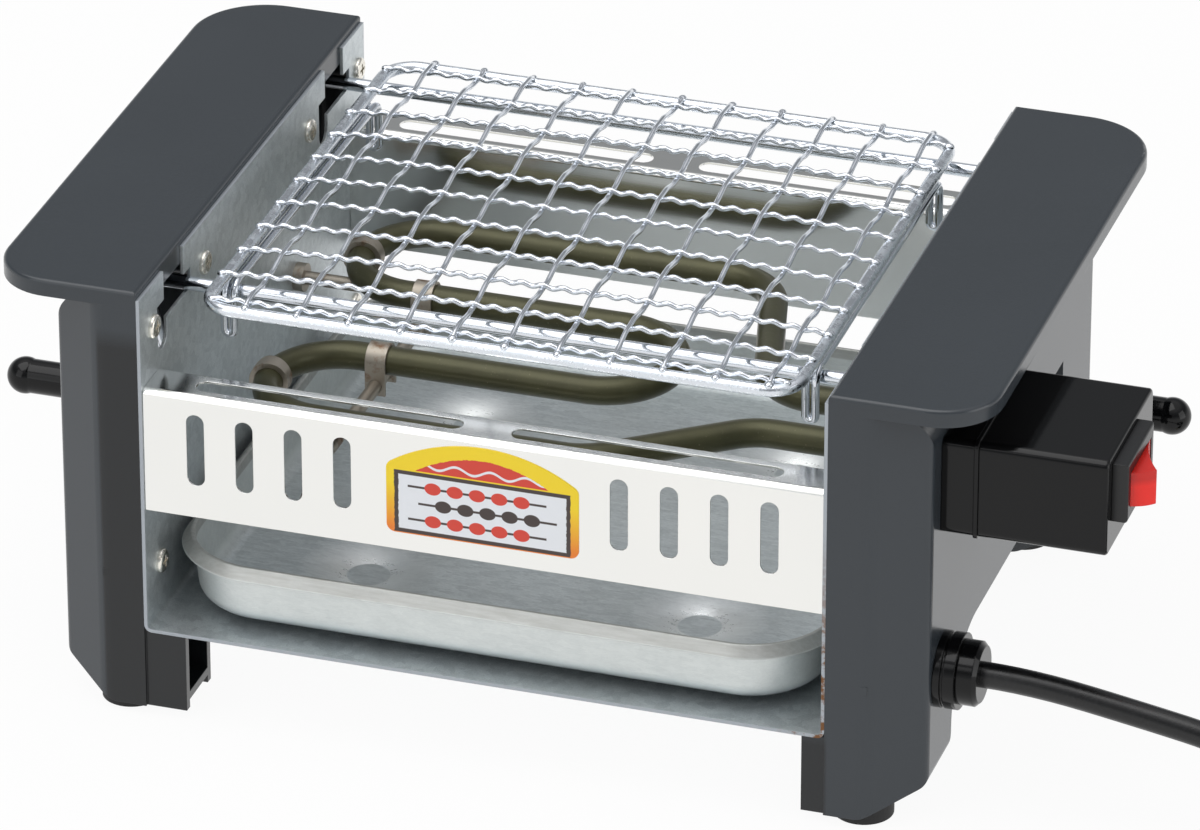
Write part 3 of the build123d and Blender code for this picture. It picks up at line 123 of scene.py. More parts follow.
class SteelColours(PropertyGroup):
    zinc: colour("Zinc", "Galvanised sheet", 228, 234, 236)
    zinc_shade: colour("Zinc shade", "Darker grains of the galvanised sheet", 176, 184, 188)
    # Lighter than the floor's zinc: a painted reflection of the white table on the tray's wall.
    tray_wall_painted_reflection: colour("Tray wall", "Outer wall of the tray", 232, 236, 234)
    cut_edge: colour("Cut edge", "Bare steel where the sheet was cut", 172, 178, 184)
    rust: colour("Rust", "Stains on cut edges and straps", 122, 84, 52)
    bright: colour("Bright sheet", "Polished sheet of the two panels", 244, 243, 239)
    chrome: colour("Chrome", "Plated wires and rods", 222, 226, 232)
    nickel: colour("Nickel", "Plated screws and pins", 240, 236, 226)
    strap: colour("Strap", "Bare steel straps and stay", 172, 164, 152)
    heater: colour("Heater", "Heat-stained tube of the heater", 92, 91, 62)
    brass: colour("Brass", "Blades of the switch and the plug", 206, 178, 110)


class MouldingColours(PropertyGroup):
    leg: colour("Leg", "Satin moulding of the legs", 48, 53, 58)
    black: colour("Black", "Black mouldings and the mains lead", 9, 9, 10)
    red: colour("Red", "The rocker", 246, 34, 20)
    red_shade: colour("Red shade", "The rocker's dished middle", 186, 24, 14)
    rubber: colour("Rubber", "Feet", 16, 16, 17)
    sleeve: colour("Sleeve", "Woven sleeves of the inner leads", 204, 200, 188)
    ceramic: colour("Ceramic", "Heater seals and the fuse", 226, 222, 210)


class LabelColours(PropertyGroup):
    top: colour("Top", "Border of the label at its top", 246, 214, 8)
    bottom: colour("Bottom", "Border of the label at its bottom", 236, 126, 28)
    band: colour("Band", "Arched band over the field", 214, 58, 38)
    line: colour("Line", "Frame and skewers", 58, 44, 40)
    field: colour("Field", "Ground of the label", 232, 235, 240)


class StudioSettings(PropertyGroup):
    floor: colour("Floor", "Table and backdrop", 236, 236, 236)
    key_power: FloatProperty(name="Key", description="Overhead softbox, in watts", default=13.0)
    fill_power: FloatProperty(name="Fill", description="Softbox on the left, in watts", default=5.0)
    side_power: FloatProperty(name="Side", description="Softbox on the right, in watts", default=5.0)
    ambient: FloatProperty(name="Ambient", description="Even light from all round", default=0.55)
    lens: FloatProperty(name="Lens", description="Focal length in millimetres", default=267.155)
    camera_place: FloatVectorProperty(
        name="Camera place",
        description="Where the camera stands",
        subtype="TRANSLATION",
        default=(0.67616, -2.12453, 1.24161),
    )
    camera_turn: FloatVectorProperty(
        name="Camera turn",
        description="How the camera is turned",
        subtype="EULER",
        default=(radians(90 - 27.81), 0, radians(17.77)),
    )


class Socket:
    """An output of a node. Sums and products of it add Math nodes."""

    def __init__(self, finish, output):
        self.finish = finish
        self.output = output

    def math(self, operation, *others, clamp=False):
        settings = {"operation": operation, "use_clamp": clamp}
        return self.finish.add("Math", settings, dict(enumerate((self, *others))))

    def __add__(self, other):
        return self.math("ADD", other)

    def __radd__(self, other):
        return self.math("ADD", other)

    def __sub__(self, other):
        return self.math("SUBTRACT", other)

    def __rsub__(self, other):
        return self.finish.add("Math", {"operation": "SUBTRACT"}, {0: other, 1: self})

    def __mul__(self, other):
        return self.math("MULTIPLY", other)

    def __rmul__(self, other):
        return self.math("MULTIPLY", other)

    def __truediv__(self, other):
        return self.math("DIVIDE", other)

    def __abs__(self):
        return self.math("ABSOLUTE")

    def clamped(self):
        return self.math("ADD", 0, clamp=True)

    def larger(self, other):
        return self.math("MAXIMUM", other)

    def fraction(self):
        return self.math("FRACT")

    def root(self):
        return self.math("SQRT")

    def sine(self):
        return self.math("SINE")

    def over(self, edge, blur):
        """0 below the edge, 1 above it, and even between over the blur."""
        return ((self - edge) / blur + 0.5).clamped()

    def under(self, edge, blur):
        return 1 - self.over(edge, blur)


class Finish:
    """One material: its node tree, and a method that adds any node to it."""

    def __init__(self, name, holder=None):
        self.material = holder or bpy.data.materials.new(name)
        self.material.use_nodes = True
        self.tree = self.material.node_tree
        self.tree.nodes.clear()

    def add(self, kind, settings=(), values=(), outlet=0):
        """Add a node, set its settings, then set or link its sockets, and return one output."""
        node = self.tree.nodes.new(f"ShaderNode{kind}")
        for name, value in dict(settings).items():
            if name == "stops":
                elements = node.color_ramp.elements
                for index, (place, shade) in enumerate(value):
                    element = elements[index] if index < 2 else elements.new(place)
                    element.position = place
                    element.color = (*shade, 1)
            else:
                setattr(node, name, value)
        for name, value in dict(values).items():
            if isinstance(value, Socket):
                self.tree.links.new(value.output, node.inputs[name])
            else:
                node.inputs[name].default_value = value
        return Socket(self, node.outputs[outlet])

    def place(self):
        return self.add("TexCoord", outlet="Object")

    def parts(self, vector):
        """The three components of a vector."""
        split = self.add("SeparateXYZ", values={0: vector})
        outputs = split.output.node.outputs
        return tuple(Socket(self, outputs[index]) for index in range(3))

    def stretched(self, *scale):
        """Places on the piece, scaled along each axis."""
        return self.add("Mapping", values={"Vector": self.place(), "Scale": scale})

    def noise(self, scale, detail=3, roughness=0.55, vector=None):
        return self.add(
            "TexNoise",
            values={
                "Vector": vector or self.place(),
                "Scale": scale,
                "Detail": detail,
                "Roughness": roughness,
            },
        )

    def grains(self, scale, vector=None):
        """One even random value for each grain of a crystal pattern."""
        cells = self.add(
            "TexVoronoi", values={"Vector": vector or self.place(), "Scale": scale}, outlet=1
        )
        return self.parts(cells)[0]

    def mix(self, factor, first, second):
        """From the first colour to the second by the factor."""
        first, second = (
            c if isinstance(c, Socket) else (*c, 1) for c in (first, second)
        )
        return self.add(
            "Mix", {"data_type": "RGBA"}, {0: factor, 6: first, 7: second}, outlet=2
        )

    def rounded(self, radius):
        return self.add("Bevel", {"samples": 6}, {"Radius": radius})

    def bump(self, height, distance, normal=None):
        values = {"Height": height, "Distance": distance}
        if normal:
            values["Normal"] = normal
        return self.add("Bump", values=values)

    def surface(self, shade, roughness, metallic=0.0, **values):
        """Close the material with one shader."""
        colour_value = shade if isinstance(shade, Socket) else (*shade, 1)
        values = {name.replace("_", " "): value for name, value in values.items()}
        shader = self.add(
            "BsdfPrincipled",
            values={
                "Base Color": colour_value,
                "Roughness": roughness,
                "Metallic": metallic,
                **values,
            },
        )
        self.add_output(shader)
        return self.material

    def add_output(self, shader):
        output = self.tree.nodes.new("ShaderNodeOutputMaterial")
        self.tree.links.new(shader.output, output.inputs["Surface"])


def paint(material, *names):
    """Give the material to every slot of these model pieces."""
    for name in names:
        for slot in nodes[name].material_slots:
            slot.material = material


def tubes(lines, radius, sides=10):
    """Closed round tubes along lines.

    At each point of a line the ring is radius * (cos a * side + sin a * up), where side is level and
    square to the line and up is square to both. The ends close on their own middle points.
    """
    count, steps, _ = lines.shape
    ahead = np.gradient(lines, axis=1)
    ahead /= np.linalg.norm(ahead, axis=2, keepdims=True)
    side = np.cross(ahead, (0.0, 0.0, 1.0))
    side /= np.linalg.norm(side, axis=2, keepdims=True)
    up = np.cross(side, ahead)
    angle = np.linspace(0, 2 * pi, sides, endpoint=False)[None, None, :, None]
    rings = lines[:, :, None] + radius * (
        np.cos(angle) * side[:, :, None] + np.sin(angle) * up[:, :, None]
    )
    points = np.concatenate([rings.reshape(-1, 3), lines[:, 0], lines[:, -1]])
    tube, step, turn = np.meshgrid(
        np.arange(count), np.arange(steps - 1), np.arange(sides), indexing="ij"
    )
    base = tube * steps * sides
    near, far = base + step * sides, base + (step + 1) * sides
    after = (turn + 1) % sides
    walls = np.stack([near + turn, near + after, far + after, far + turn], axis=-1)
    tube, turn = np.meshgrid(np.arange(count), np.arange(sides), indexing="ij")
    after = (turn + 1) % sides
    first, last = tube * steps * sides, (tube * steps + steps - 1) * sides
    middle = count * steps * sides + tube
    starts = np.stack([middle, first + after, first + turn, middle], axis=-1)
    ends = np.stack([middle + count, last + turn, last + after, middle + count], axis=-1)
    caps = np.concatenate([starts.reshape(-1, 4), ends.reshape(-1, 4)])[:, :3]
    return points, walls.reshape(-1, 4), caps


def beads(centres, radii, turns=12, rows=7):
    """Closed beads: centre + radii * (sin v cos u, sin v sin u, cos v).

    u goes round the bead and v goes from pole to pole.
    """
    v = np.linspace(0, pi, rows + 2)[1:-1]
    u = np.linspace(0, 2 * pi, turns, endpoint=False)
    v, u = np.meshgrid(v, u, indexing="ij")
    ring = np.stack([np.sin(v) * np.cos(u), np.sin(v) * np.sin(u), np.cos(v)], axis=-1)
    ball = np.concatenate([ring.reshape(-1, 3), [[0, 0, 1], [0, 0, -1]]])
    points = centres[:, None] + radii[:, None] * ball
    row, turn = np.meshgrid(np.arange(rows - 1), np.arange(turns), indexing="ij")
    after = (turn + 1) % turns
    walls = np.stack(
        [row * turns + turn, (row + 1) * turns + turn, (row + 1) * turns + after, row * turns + after],
        axis=-1,
    ).reshape(-1, 4)
    turn = np.arange(turns)
    after = (turn + 1) % turns
    top, bottom = rows * turns, rows * turns + 1
    last = (rows - 1) * turns
    caps = np.concatenate([
        np.stack([np.full(turns, top), turn, after], axis=-1),
        np.stack([np.full(turns, bottom), last + after, last + turn], axis=-1),
    ])
    offset = np.arange(len(centres))[:, None, None] * len(ball)
    return points.reshape(-1, 3), (walls + offset).reshape(-1, 4), (caps + offset).reshape(-1, 3)


def joined(parts):
    """One list of points and one of faces from several (points, four-sided faces, three-sided faces)."""
    points, faces, start = [], [], 0
    for own, *groups in parts:
        points.append(own)
        faces += [(row + start).tolist() for group in groups for row in group]
        start += len(own)
    return np.concatenate(points), faces


def lead_rubber(context):
    """Black rubber with a little dust."""
    colours = context.scene.grill_mouldings
    finish = Finish("lead_rubber")
    dust = finish.noise(900, 4)
    return finish.surface(
        finish.mix(dust.over(0.62, 0.3) * 0.35, tuple(colours.black), tone(40, 40, 43)),
        0.22 + 0.16 * finish.noise(220, 3),
        Normal=finish.bump(finish.noise(1500, 2), 0.03 * MM),
    )


class GRILL_OT_mains_lead(Operator):
    """Lay the mains lead from its gland to its coil and its plug"""

    bl_idname = "grill.mains_lead"
    bl_label = "Mains lead"

    def execute(self, context):
        sizes = context.scene.grill_lead
        upper, lower = 12.8, 4.7            # heights of the coil's two layers, in mm
        coil_x, coil_y = 280.4, -24         # the coil's centre, in mm from the trough's middle
        run = np.array([
            (137.9, -72, 42.2),
            (152, -72, 42.2),
            (184, -72, 37),
            (207, -72.4, 33),
            (228, -72.6, 24.3),
            (252.5, -72, upper),
            (273, -72, upper),
        ]) * MM
        tail = np.array([(273, 24, lower), (250.4, 24, lower)]) * MM
        turn_points = 16
        quarters = 4 * sizes.coil_turns
        quarter = np.linspace(-quarters, quarters, round(2 * sizes.coil_turns * turn_points) + 1)
        angle = -pi / 2 + pi / 2 * (quarter + quarters)
        radius = sizes.coil_radius + sizes.coil_step * np.abs(quarter) / 4
        radius = radius / cos(pi / turn_points)
        coil = np.stack(
            [
                coil_x * MM + radius * np.cos(angle),
                coil_y * MM + radius * np.sin(angle),
                np.interp(quarter, (-1, 1), (upper * MM, lower * MM)),
            ],
            axis=-1,
        )
        points = np.concatenate([run, coil, tail])
        points[:, 0] -= MIDDLE_X
        curve = bpy.data.curves.new("mains_lead", "CURVE")
        curve.dimensions = "3D"
        spline = curve.splines.new("NURBS")
        spline.points.add(len(points) - 1)
        spline.points.foreach_set("co", np.insert(points, 3, 1, axis=1).ravel())
        spline.order_u = 3
        spline.use_endpoint_u = True
        curve.bevel_depth = sizes.diameter / 2
        curve.bevel_resolution = 6
        curve.resolution_u = 6
        curve.use_fill_caps = True
        curve.materials.append(lead_rubber(context))
        lead = bpy.data.objects.new("mains_lead", curve)
        context.scene.collection.objects.link(lead)
        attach(lead, "grill")
        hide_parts("mains_cord", "cord_coil")
        return {"FINISHED"}


def chrome(name, context, frost=0.0):
    """Plated wire: bright, with fine pits and a milky bloom where the plating is thick."""
    finish = Finish(name)
    colours = context.scene.grill_steel
    bloom = finish.noise(260, 5, 0.7).over(0.52, 0.22) * frost
    pits = finish.noise(2600, 3, 0.6)
    shade = finish.mix(bloom, tuple(colours.chrome), tone(226, 232, 238))
    shade = finish.mix(pits.under(0.34, 0.06) * 0.3, shade, tone(120, 126, 134))
    return finish.surface(
        shade,
        0.08 + 0.06 * finish.noise(500, 2) + 0.35 * bloom,
        1.0,
        Normal=finish.bump(finish.noise(1100, 4) + pits * 0.4, (0.008 + 0.06 * frost) * MM),
    )


class GRILL_OT_net(Operator):
    """Weave the net's two sets of waved wires and weld them to the border wire"""

    bl_idname = "grill.net"
    bl_label = "Skewer net"

    def execute(self, context):
        sizes = context.scene.grill_net
        half = (sizes.wires - 1) / 2
        index = np.arange(sizes.wires) - half
        sign = np.where(np.arange(sizes.wires) % 2, -1.0, 1.0)[:, None]
        middle_y = (sizes.front + sizes.back) / 2
        half_depth = (sizes.back - sizes.front) / 2
        bulge = sizes.middle_height - sizes.end_height
        across_at = sizes.shift_across + index * sizes.pitch_across
        along_at = middle_y + sizes.shift_along + index * sizes.pitch_along
        easing = 3 * MM                     # the waves fade over this much before a wire's end
        half_waves = 5                      # in a left-to-right wire, from one crossing to the next
        fine_steps, broad_steps = 330, 160

        def reach(offset, half_side, half_run):
            """How far wires at these offsets run from the middle to the border, round its corners too."""
            past = np.maximum(np.abs(offset) - half_side + sizes.corner, 0)
            return (half_run - sizes.corner + np.sqrt(sizes.corner**2 - past**2))[:, None]

        def lift(x, y, edge, wave):
            """Height on a wire: a flat dome over the border, and the waves, easing off at its ends."""
            left = (1 - (x / sizes.half_width) ** 4) * (1 - ((y - middle_y) / half_depth) ** 4)
            held = np.clip(edge / easing, 0, 1)
            return sizes.end_height + bulge * left + wave * held * held * (3 - 2 * held)

        side_reach = reach(along_at - middle_y, half_depth, sizes.half_width)
        x = np.linspace(-1, 1, fine_steps) * side_reach
        y = np.broadcast_to(along_at[:, None], x.shape)
        wave = np.cos(half_waves * pi * (x - sizes.shift_across) / sizes.pitch_across) * sizes.fine_wave
        across = np.stack([x, y, lift(x, y, side_reach - np.abs(x), sign * wave)], axis=-1)
        end_reach = reach(across_at, sizes.half_width, half_depth)
        y = middle_y + np.linspace(-1, 1, broad_steps) * end_reach
        x = np.broadcast_to(across_at[:, None], y.shape)
        wave = np.cos(pi * (y - middle_y - sizes.shift_along) / sizes.pitch_along)
        flat_topped = np.clip(1.5 * wave, -1, 1) * -sizes.broad_wave
        edge = end_reach - np.abs(y - middle_y)
        along = np.stack([x, y, lift(x, y, edge, sign * flat_topped)], axis=-1)
        wire = sizes.wire / 2
        weld_height = sizes.end_height - 0.25 * MM
        side_welds = [(k * u, v) for k in (-1, 1) for u, v in zip(side_reach[:, 0], along_at)]
        end_welds = [(u, middle_y + k * v) for k in (-1, 1) for u, v in zip(across_at, end_reach[:, 0])]
        welds = np.array([(u, v, weld_height) for u, v in side_welds + end_welds])
        long, short, tall = 1.6 * MM, 1.25 * MM, 1.0 * MM
        spread = np.array([(long, short, tall)] * len(side_welds) + [(short, long, tall)] * len(end_welds))
        uneven = 1 + 0.12 * np.sin(7.3 * np.arange(len(welds)))
        spread = spread * uneven[:, None]
        points, faces = joined([tubes(across, wire), tubes(along, wire), beads(welds, spread)])
        points[:, 0] -= MIDDLE_X
        mesh = bpy.data.meshes.new("net_wires")
        mesh.from_pydata(points.tolist(), [], faces)
        mesh.polygons.foreach_set("use_smooth", np.ones(len(faces), bool))
        mesh.materials.append(chrome("net_wire_plating", context, 0.1))
        piece = bpy.data.objects.new("net_wires", mesh)
        context.scene.collection.objects.link(piece)
        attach(piece, "net")
        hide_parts("net_grid")
        paint(chrome("border_plating", context, 0.9), "net_border")
        return {"FINISHED"}


class GRILL_OT_rods(Operator):
    """Plate the sliding rods and the net's rails"""

    bl_idname = "grill.rods"
    bl_label = "Rods and rails"

    def execute(self, context):
        names = ("front_rod", "rear_rod", "left_net_rail", "right_net_rail")
        paint(chrome("rod_plating", context), *names)
        return {"FINISHED"}


def zinc(name, context, grain, streaks=(1, 1, 1)):
    """Galvanised sheet: the finish, its colour and its mottle.

    The mottle is crystal grains and a fine speckle, between two shades, and soft stains lie over it.
    """
    colours = context.scene.grill_steel
    finish = Finish(name)
    where = finish.stretched(*streaks)
    crystals = finish.grains(grain, where)
    speckle = finish.noise(2400, 3, 0.7, where)
    mottle = (0.35 * crystals + 1.3 * (speckle - 0.5) + 0.35).clamped()
    shade = finish.mix(mottle, tuple(colours.zinc_shade), tuple(colours.zinc))
    stains = finish.noise(28, 4, 0.6).over(0.55, 0.4)
    return finish, finish.mix(stains * 0.2, shade, tone(150, 152, 146)), mottle


def trough_finish(context):
    """Galvanised sheet, bare at its cut edges, which rust low on the right."""
    colours = context.scene.grill_steel
    finish, shade, mottle = zinc("trough_zinc", context, 420)
    x, y, z = finish.parts(finish.place())
    edge_y, edge_z, blur = 93.92 * MM, 130.62 * MM, 0.04 * MM      # just inside the cut edges
    cut = abs(y).over(edge_y, blur).larger(z.over(edge_z, blur))
    low_right = x.over(80 * MM, 8 * MM) * z.under(70 * MM, 40 * MM)
    rust = finish.noise(420, 4, 0.7).over(0.5, 0.12) * low_right
    bare = finish.mix(rust, tuple(colours.cut_edge), tuple(colours.rust))
    return finish.surface(
        finish.mix(cut, shade, bare),
        0.36 + 0.14 * mottle + 0.1 * cut,
        0.8 - cut * 0.2,
        Normal=finish.bump(mottle, 0.03 * MM, finish.rounded(0.3 * MM)),
    )


def tray_finish(context):
    """Galvanised sheet: a milky wall made lighter by a painted reflection, a darker streaked lip, and a
    painted highlight round the pressed feet, where the metal is also smoother.
    """
    colours = context.scene.grill_steel
    finish, shade, mottle = zinc("tray_zinc", context, 900, (0.3, 1.1, 1.1))
    x, y, z = finish.parts(finish.place())
    wall_start, lip_start = 33 * MM, 46.6 * MM
    foot_radius, highlight_radius, highlight_fade = 6.2 * MM, 14 * MM, 12 * MM
    milky = finish.noise(130, 4)
    # Painted reflection: the wall is lighter than the tray's floor, standing for the white table it
    # reflects. The milky mottle on it is the sheet's own.
    wall = finish.mix(milky * 0.4 + mottle * 0.3, tuple(colours.tray_wall_painted_reflection), tone(186, 192, 192))
    shade = finish.mix(z.over(wall_start, 3 * MM), shade, wall)
    across, along = abs(x + MIDDLE_X) - FOOT_X, abs(y) - FOOT_Y
    from_foot = (across * across + along * along).root()
    # A ring of painted highlight round each pressed foot, fading outwards. The lower roughness it also
    # gives is the smoother pressed metal.
    pressed = from_foot.over(foot_radius, 0.5 * MM) * from_foot.under(highlight_radius, highlight_fade)
    pressed = pressed * z.under(wall_start, 2 * MM)
    # Painted highlight: the ring is lightened nearly to white.
    shade = finish.mix(pressed * 0.7, shade, tone(250, 252, 252))
    ticks = finish.noise(900, 3, 0.6, finish.stretched(0.08, 1, 1))
    lip = z.over(lip_start, 0.4 * MM) * (0.35 + 0.5 * ticks)
    return finish.surface(
        finish.mix(lip, shade, tone(150, 148, 142)),
        0.34 + 0.16 * mottle - 0.12 * pressed,
        0.7,
        Normal=finish.bump(mottle, 0.03 * MM, finish.rounded(0.3 * MM)),
    )


def panel_finish(context):
    """Bright sheet, nearly a mirror, brushed faintly from left to right."""
    colours = context.scene.grill_steel
    finish = Finish("bright_sheet")
    brushed = finish.noise(900, 3, 0.6, finish.stretched(0.04, 1, 1))
    smudge = finish.noise(18, 3)
    return finish.surface(
        finish.mix(smudge * 0.25, tuple(colours.bright), tone(222, 226, 226)),
        0.09 + 0.06 * brushed + 0.05 * smudge,
        1.0,
        Normal=finish.bump(brushed, 0.006 * MM, finish.rounded(0.25 * MM)),
    )


class GRILL_OT_sheet_metal(Operator):
    """Finish the trough, the tray and the two panels"""

    bl_idname = "grill.sheet_metal"
    bl_label = "Sheet metal"

    def execute(self, context):
        paint(trough_finish(context), "chassis")
        paint(tray_finish(context), "drip_tray")
        paint(panel_finish(context), "front_panel", "rear_panel")
        return {"FINISHED"}


class GRILL_OT_label(Operator):
    """Print the label: a framed field with three skewers under a wavy band"""

    bl_idname = "grill.label"
    bl_label = "Label"

    def execute(self, context):
        colours = context.scene.grill_label
        finish = Finish("label_print")
        x, _, z = finish.parts(finish.place())
        x = (x - LABEL_MID_X) / MM
        z = (z - LABEL_MID_Z) / MM
        blur = 0.16
        middle, half_width, half_height, frame_line = -0.6, 24.2, 8.4, 1.2
        stick_half, stick_thick = 20, 0.35
        pitch, piece_radius, pieces_half = 6.4, 2.35, 15.8

        def block(across, up, half_x, half_z):
            """1 inside a level rectangle, by the larger of its two distances."""
            return (abs(x - across) - half_x).larger(abs(z - up) - half_z).under(0, blur)

        ragged = (finish.noise(900, 3) - 0.5) * 0.7
        shade = finish.mix(z.over(-2, 14), tuple(colours.bottom), tuple(colours.top))
        arch = 15.4 - (x * x) / 62 + ragged
        band = z.over(9.4, blur) * (z - arch).under(0, blur) * abs(x).under(21.5, blur)
        shade = finish.mix(band, shade, tuple(colours.band))
        wave = (x * 0.62).sine() * 0.9 + 11.4
        ripple = abs(z - wave).under(0.38, blur) * band
        shade = finish.mix(ripple, shade, tuple(colours.field))
        border = block(0, middle, half_width + frame_line + ragged, half_height + frame_line)
        shade = finish.mix(border, shade, tuple(colours.line))
        shade = finish.mix(block(0, middle, half_width + ragged, half_height), shade, tuple(colours.field))
        skewers = ((4.4, -1.5, colours.band), (-0.7, 1.5, colours.line), (-5.8, -1.5, colours.band))
        for row, shift, piece_shade in skewers:
            stick = block(shift, row, stick_half, stick_thick)
            shade = finish.mix(stick, shade, tuple(colours.line))
            across = (((x - shift) / pitch + 0.5).fraction() - 0.5) * pitch
            up = z - row
            piece = (across * across + up * up * 1.6).root().under(piece_radius, blur)
            piece = piece * abs(x - shift).under(pieces_half, blur)
            shade = finish.mix(piece, shade, tuple(piece_shade))
        paint(
            finish.surface(
                shade,
                0.3 + 0.08 * finish.noise(400, 2),
                Normal=finish.rounded(0.12 * MM),
                Coat_Weight=0.3,
            ),
            "label_plate",
        )
        return {"FINISHED"}


def heater_finish(context):
    """Olive, heat-stained tube with pale specks."""
    colours = context.scene.grill_steel
    finish = Finish("heater_tube")
    bloom = finish.noise(60, 5, 0.6)
    specks = finish.noise(1700, 2).over(0.72, 0.05)
    shade = finish.mix(bloom, tone(60, 58, 40), tuple(colours.heater))
    return finish.surface(
        finish.mix(specks * 0.5, shade, tone(150, 148, 122)),
        0.26 + 0.16 * bloom,
        0.45,
        Normal=finish.bump(finish.noise(900, 4, 0.7), 0.05 * MM),
    )


def strap_finish(context):
    """Bare steel with rusty heat stains."""
    colours = context.scene.grill_steel
    finish = Finish("heat_stained_strap")
    stain = finish.noise(160, 5, 0.65)
    return finish.surface(
        finish.mix(stain.over(0.62, 0.16), tuple(colours.strap), tuple(colours.rust)),
        0.32 + 0.25 * stain,
        0.85,
        Normal=finish.bump(finish.noise(1200, 3), 0.03 * MM, finish.rounded(0.2 * MM)),
    )


def ceramic_finish(context):
    """Fired ceramic with a fine grit."""
    colours = context.scene.grill_mouldings
    finish = Finish("fired_ceramic")
    grit = finish.noise(1500, 3)
    return finish.surface(
        finish.mix(grit * 0.3, tuple(colours.ceramic), tone(178, 172, 158)),
        0.5 + 0.2 * grit,
        Normal=finish.bump(grit, 0.03 * MM),
    )


class GRILL_OT_heater(Operator):
    """Finish the heater tube, its stay, straps, collars, seals and fuse"""

    bl_idname = "grill.heater"
    bl_label = "Heater"

    def execute(self, context):
        paint(heater_finish(context), "heater_tube")
        straps = ("heater_collars", "heater_stay", "stay_ring", "heater_straps")
        paint(strap_finish(context), *straps)
        paint(ceramic_finish(context), "heater_seals", "thermal_fuse")
        return {"FINISHED"}


def plastic(name, shade, worn, roughness, grain, ior=1.5, edge=0.35, painted_shade=None):
    """Moulded plastic: a fine grain, faint swirls in the shine, a soft edge and painted shade on the inner
    side.

    The last argument is (lowest x, highest x, highest z), the block in which painted shade makes the
    moulding nearly black.
    """
    finish = Finish(name)
    swirl = finish.noise(14, 3)
    fine = finish.noise(2600, 2)
    tint = finish.mix((0.5 * swirl + 0.2 * fine - 0.1).clamped(), tuple(shade), worn)
    if painted_shade:
        x, _, z = finish.parts(finish.place())
        # Painted shade: inside this block the moulding's colour is made nearly black, standing for the
        # shade inside the hollow leg.
        inner = x.over(painted_shade[0], 1 * MM) * x.under(painted_shade[1], 1 * MM) * z.under(painted_shade[2], 6 * MM)
        tint = finish.mix(inner * 0.85, tint, tone(10, 11, 12))
    return finish.surface(
        tint,
        roughness + 0.06 * swirl,
        IOR=ior,
        Normal=finish.bump(fine, grain * MM, finish.rounded(edge * MM)),
    )


class GRILL_OT_mouldings(Operator):
    """Finish the legs, the switch box, the knobs, the gland and the plug"""

    bl_idname = "grill.mouldings"
    bl_label = "Mouldings"

    def execute(self, context):
        colours = context.scene.grill_mouldings
        worn = tone(56, 62, 68)
        strip_x, shoe_x, plate_x = 111 * MM, 80 * MM, 99.5 * MM
        # Blocks of painted shade on the hollow inner sides of the left leg and of the right leg's shoe.
        left_painted_shade = (-strip_x - MIDDLE_X, -shoe_x - MIDDLE_X, 118 * MM)
        right_painted_shade = (shoe_x - MIDDLE_X, plate_x - MIDDLE_X, 27 * MM)
        left = plastic("left_leg_moulding", colours.leg, worn, 0.2, 0.012, painted_shade=left_painted_shade)
        right = plastic("right_leg_moulding", colours.leg, worn, 0.2, 0.012, painted_shade=right_painted_shade)
        paint(left, "left_leg")
        paint(right, "right_leg")
        gloss = plastic("gloss_moulding", colours.black, tone(12, 12, 13), 0.06, 0.003, 1.35, 0.5)
        paint(gloss, "switch_box_base", "switch_box_cover", "left_knob", "right_knob")
        paint(gloss, "cord_gland", "gland_back_nut", "gland_cap")
        satin = plastic("satin_moulding", colours.black, tone(22, 22, 24), 0.3, 0.02)
        paint(satin, "switch_body", "plug_body", "cord_tie")
        return {"FINISHED"}


class GRILL_OT_rocker(Operator):
    """Finish the switch's red rocker"""

    bl_idname = "grill.rocker"
    bl_label = "Rocker"

    def execute(self, context):
        colours = context.scene.grill_mouldings
        finish = Finish("red_rocker")
        cloud = finish.noise(120, 3)
        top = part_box("rocker")[1].z
        _, _, z = finish.parts(finish.place())
        deep = z.over(top - 3.2 * MM, 2 * MM) * 0.6 + cloud * 0.25
        paint(
            finish.surface(
                finish.mix(deep.clamped(), tuple(colours.red), tuple(colours.red_shade)),
                0.2 + 0.1 * cloud,
                Normal=finish.bump(finish.noise(1500, 2), 0.01 * MM, finish.rounded(0.3 * MM)),
            ),
            "rocker",
        )
        return {"FINISHED"}


def nickel_finish(context):
    """Nickel plate, a little worn."""
    colours = context.scene.grill_steel
    finish = Finish("nickel_plate")
    wear = finish.noise(900, 4)
    return finish.surface(
        finish.mix(wear.over(0.6, 0.2) * 0.3, tuple(colours.nickel), tone(178, 164, 140)),
        0.14 + 0.16 * wear,
        1.0,
        Normal=finish.bump(wear, 0.02 * MM, finish.rounded(0.25 * MM)),
    )


def brass_finish(context):
    """Brass, rubbed from left to right."""
    colours = context.scene.grill_steel
    finish = Finish("bright_brass")
    rub = finish.noise(1400, 3, 0.6, finish.stretched(0.1, 1, 1))
    return finish.surface(
        finish.mix(rub * 0.4, tuple(colours.brass), tone(168, 138, 82)),
        0.2 + 0.14 * rub,
        1.0,
        Normal=finish.bump(rub, 0.01 * MM, finish.rounded(0.2 * MM)),
    )


def rubber_finish(context):
    """Matt rubber with a fine grit."""
    colours = context.scene.grill_mouldings
    finish = Finish("foot_rubber")
    grit = finish.noise(1800, 4)
    return finish.surface(
        finish.mix(grit * 0.5, tuple(colours.rubber), tone(38, 38, 38)),
        0.55 + 0.2 * grit,
        Normal=finish.bump(grit, 0.05 * MM, finish.rounded(0.5 * MM)),
    )


class GRILL_OT_fittings(Operator):
    """Finish the screws, pins, blades and feet"""

    bl_idname = "grill.fittings"
    bl_label = "Fittings"

    def execute(self, context):
        paint(nickel_finish(context), "plate_screws", "heater_pins", "rocker_pin")
        paint(brass_finish(context), "switch_terminals", "plug_blades")
        paint(rubber_finish(context), "rubber_feet")
        return {"FINISHED"}


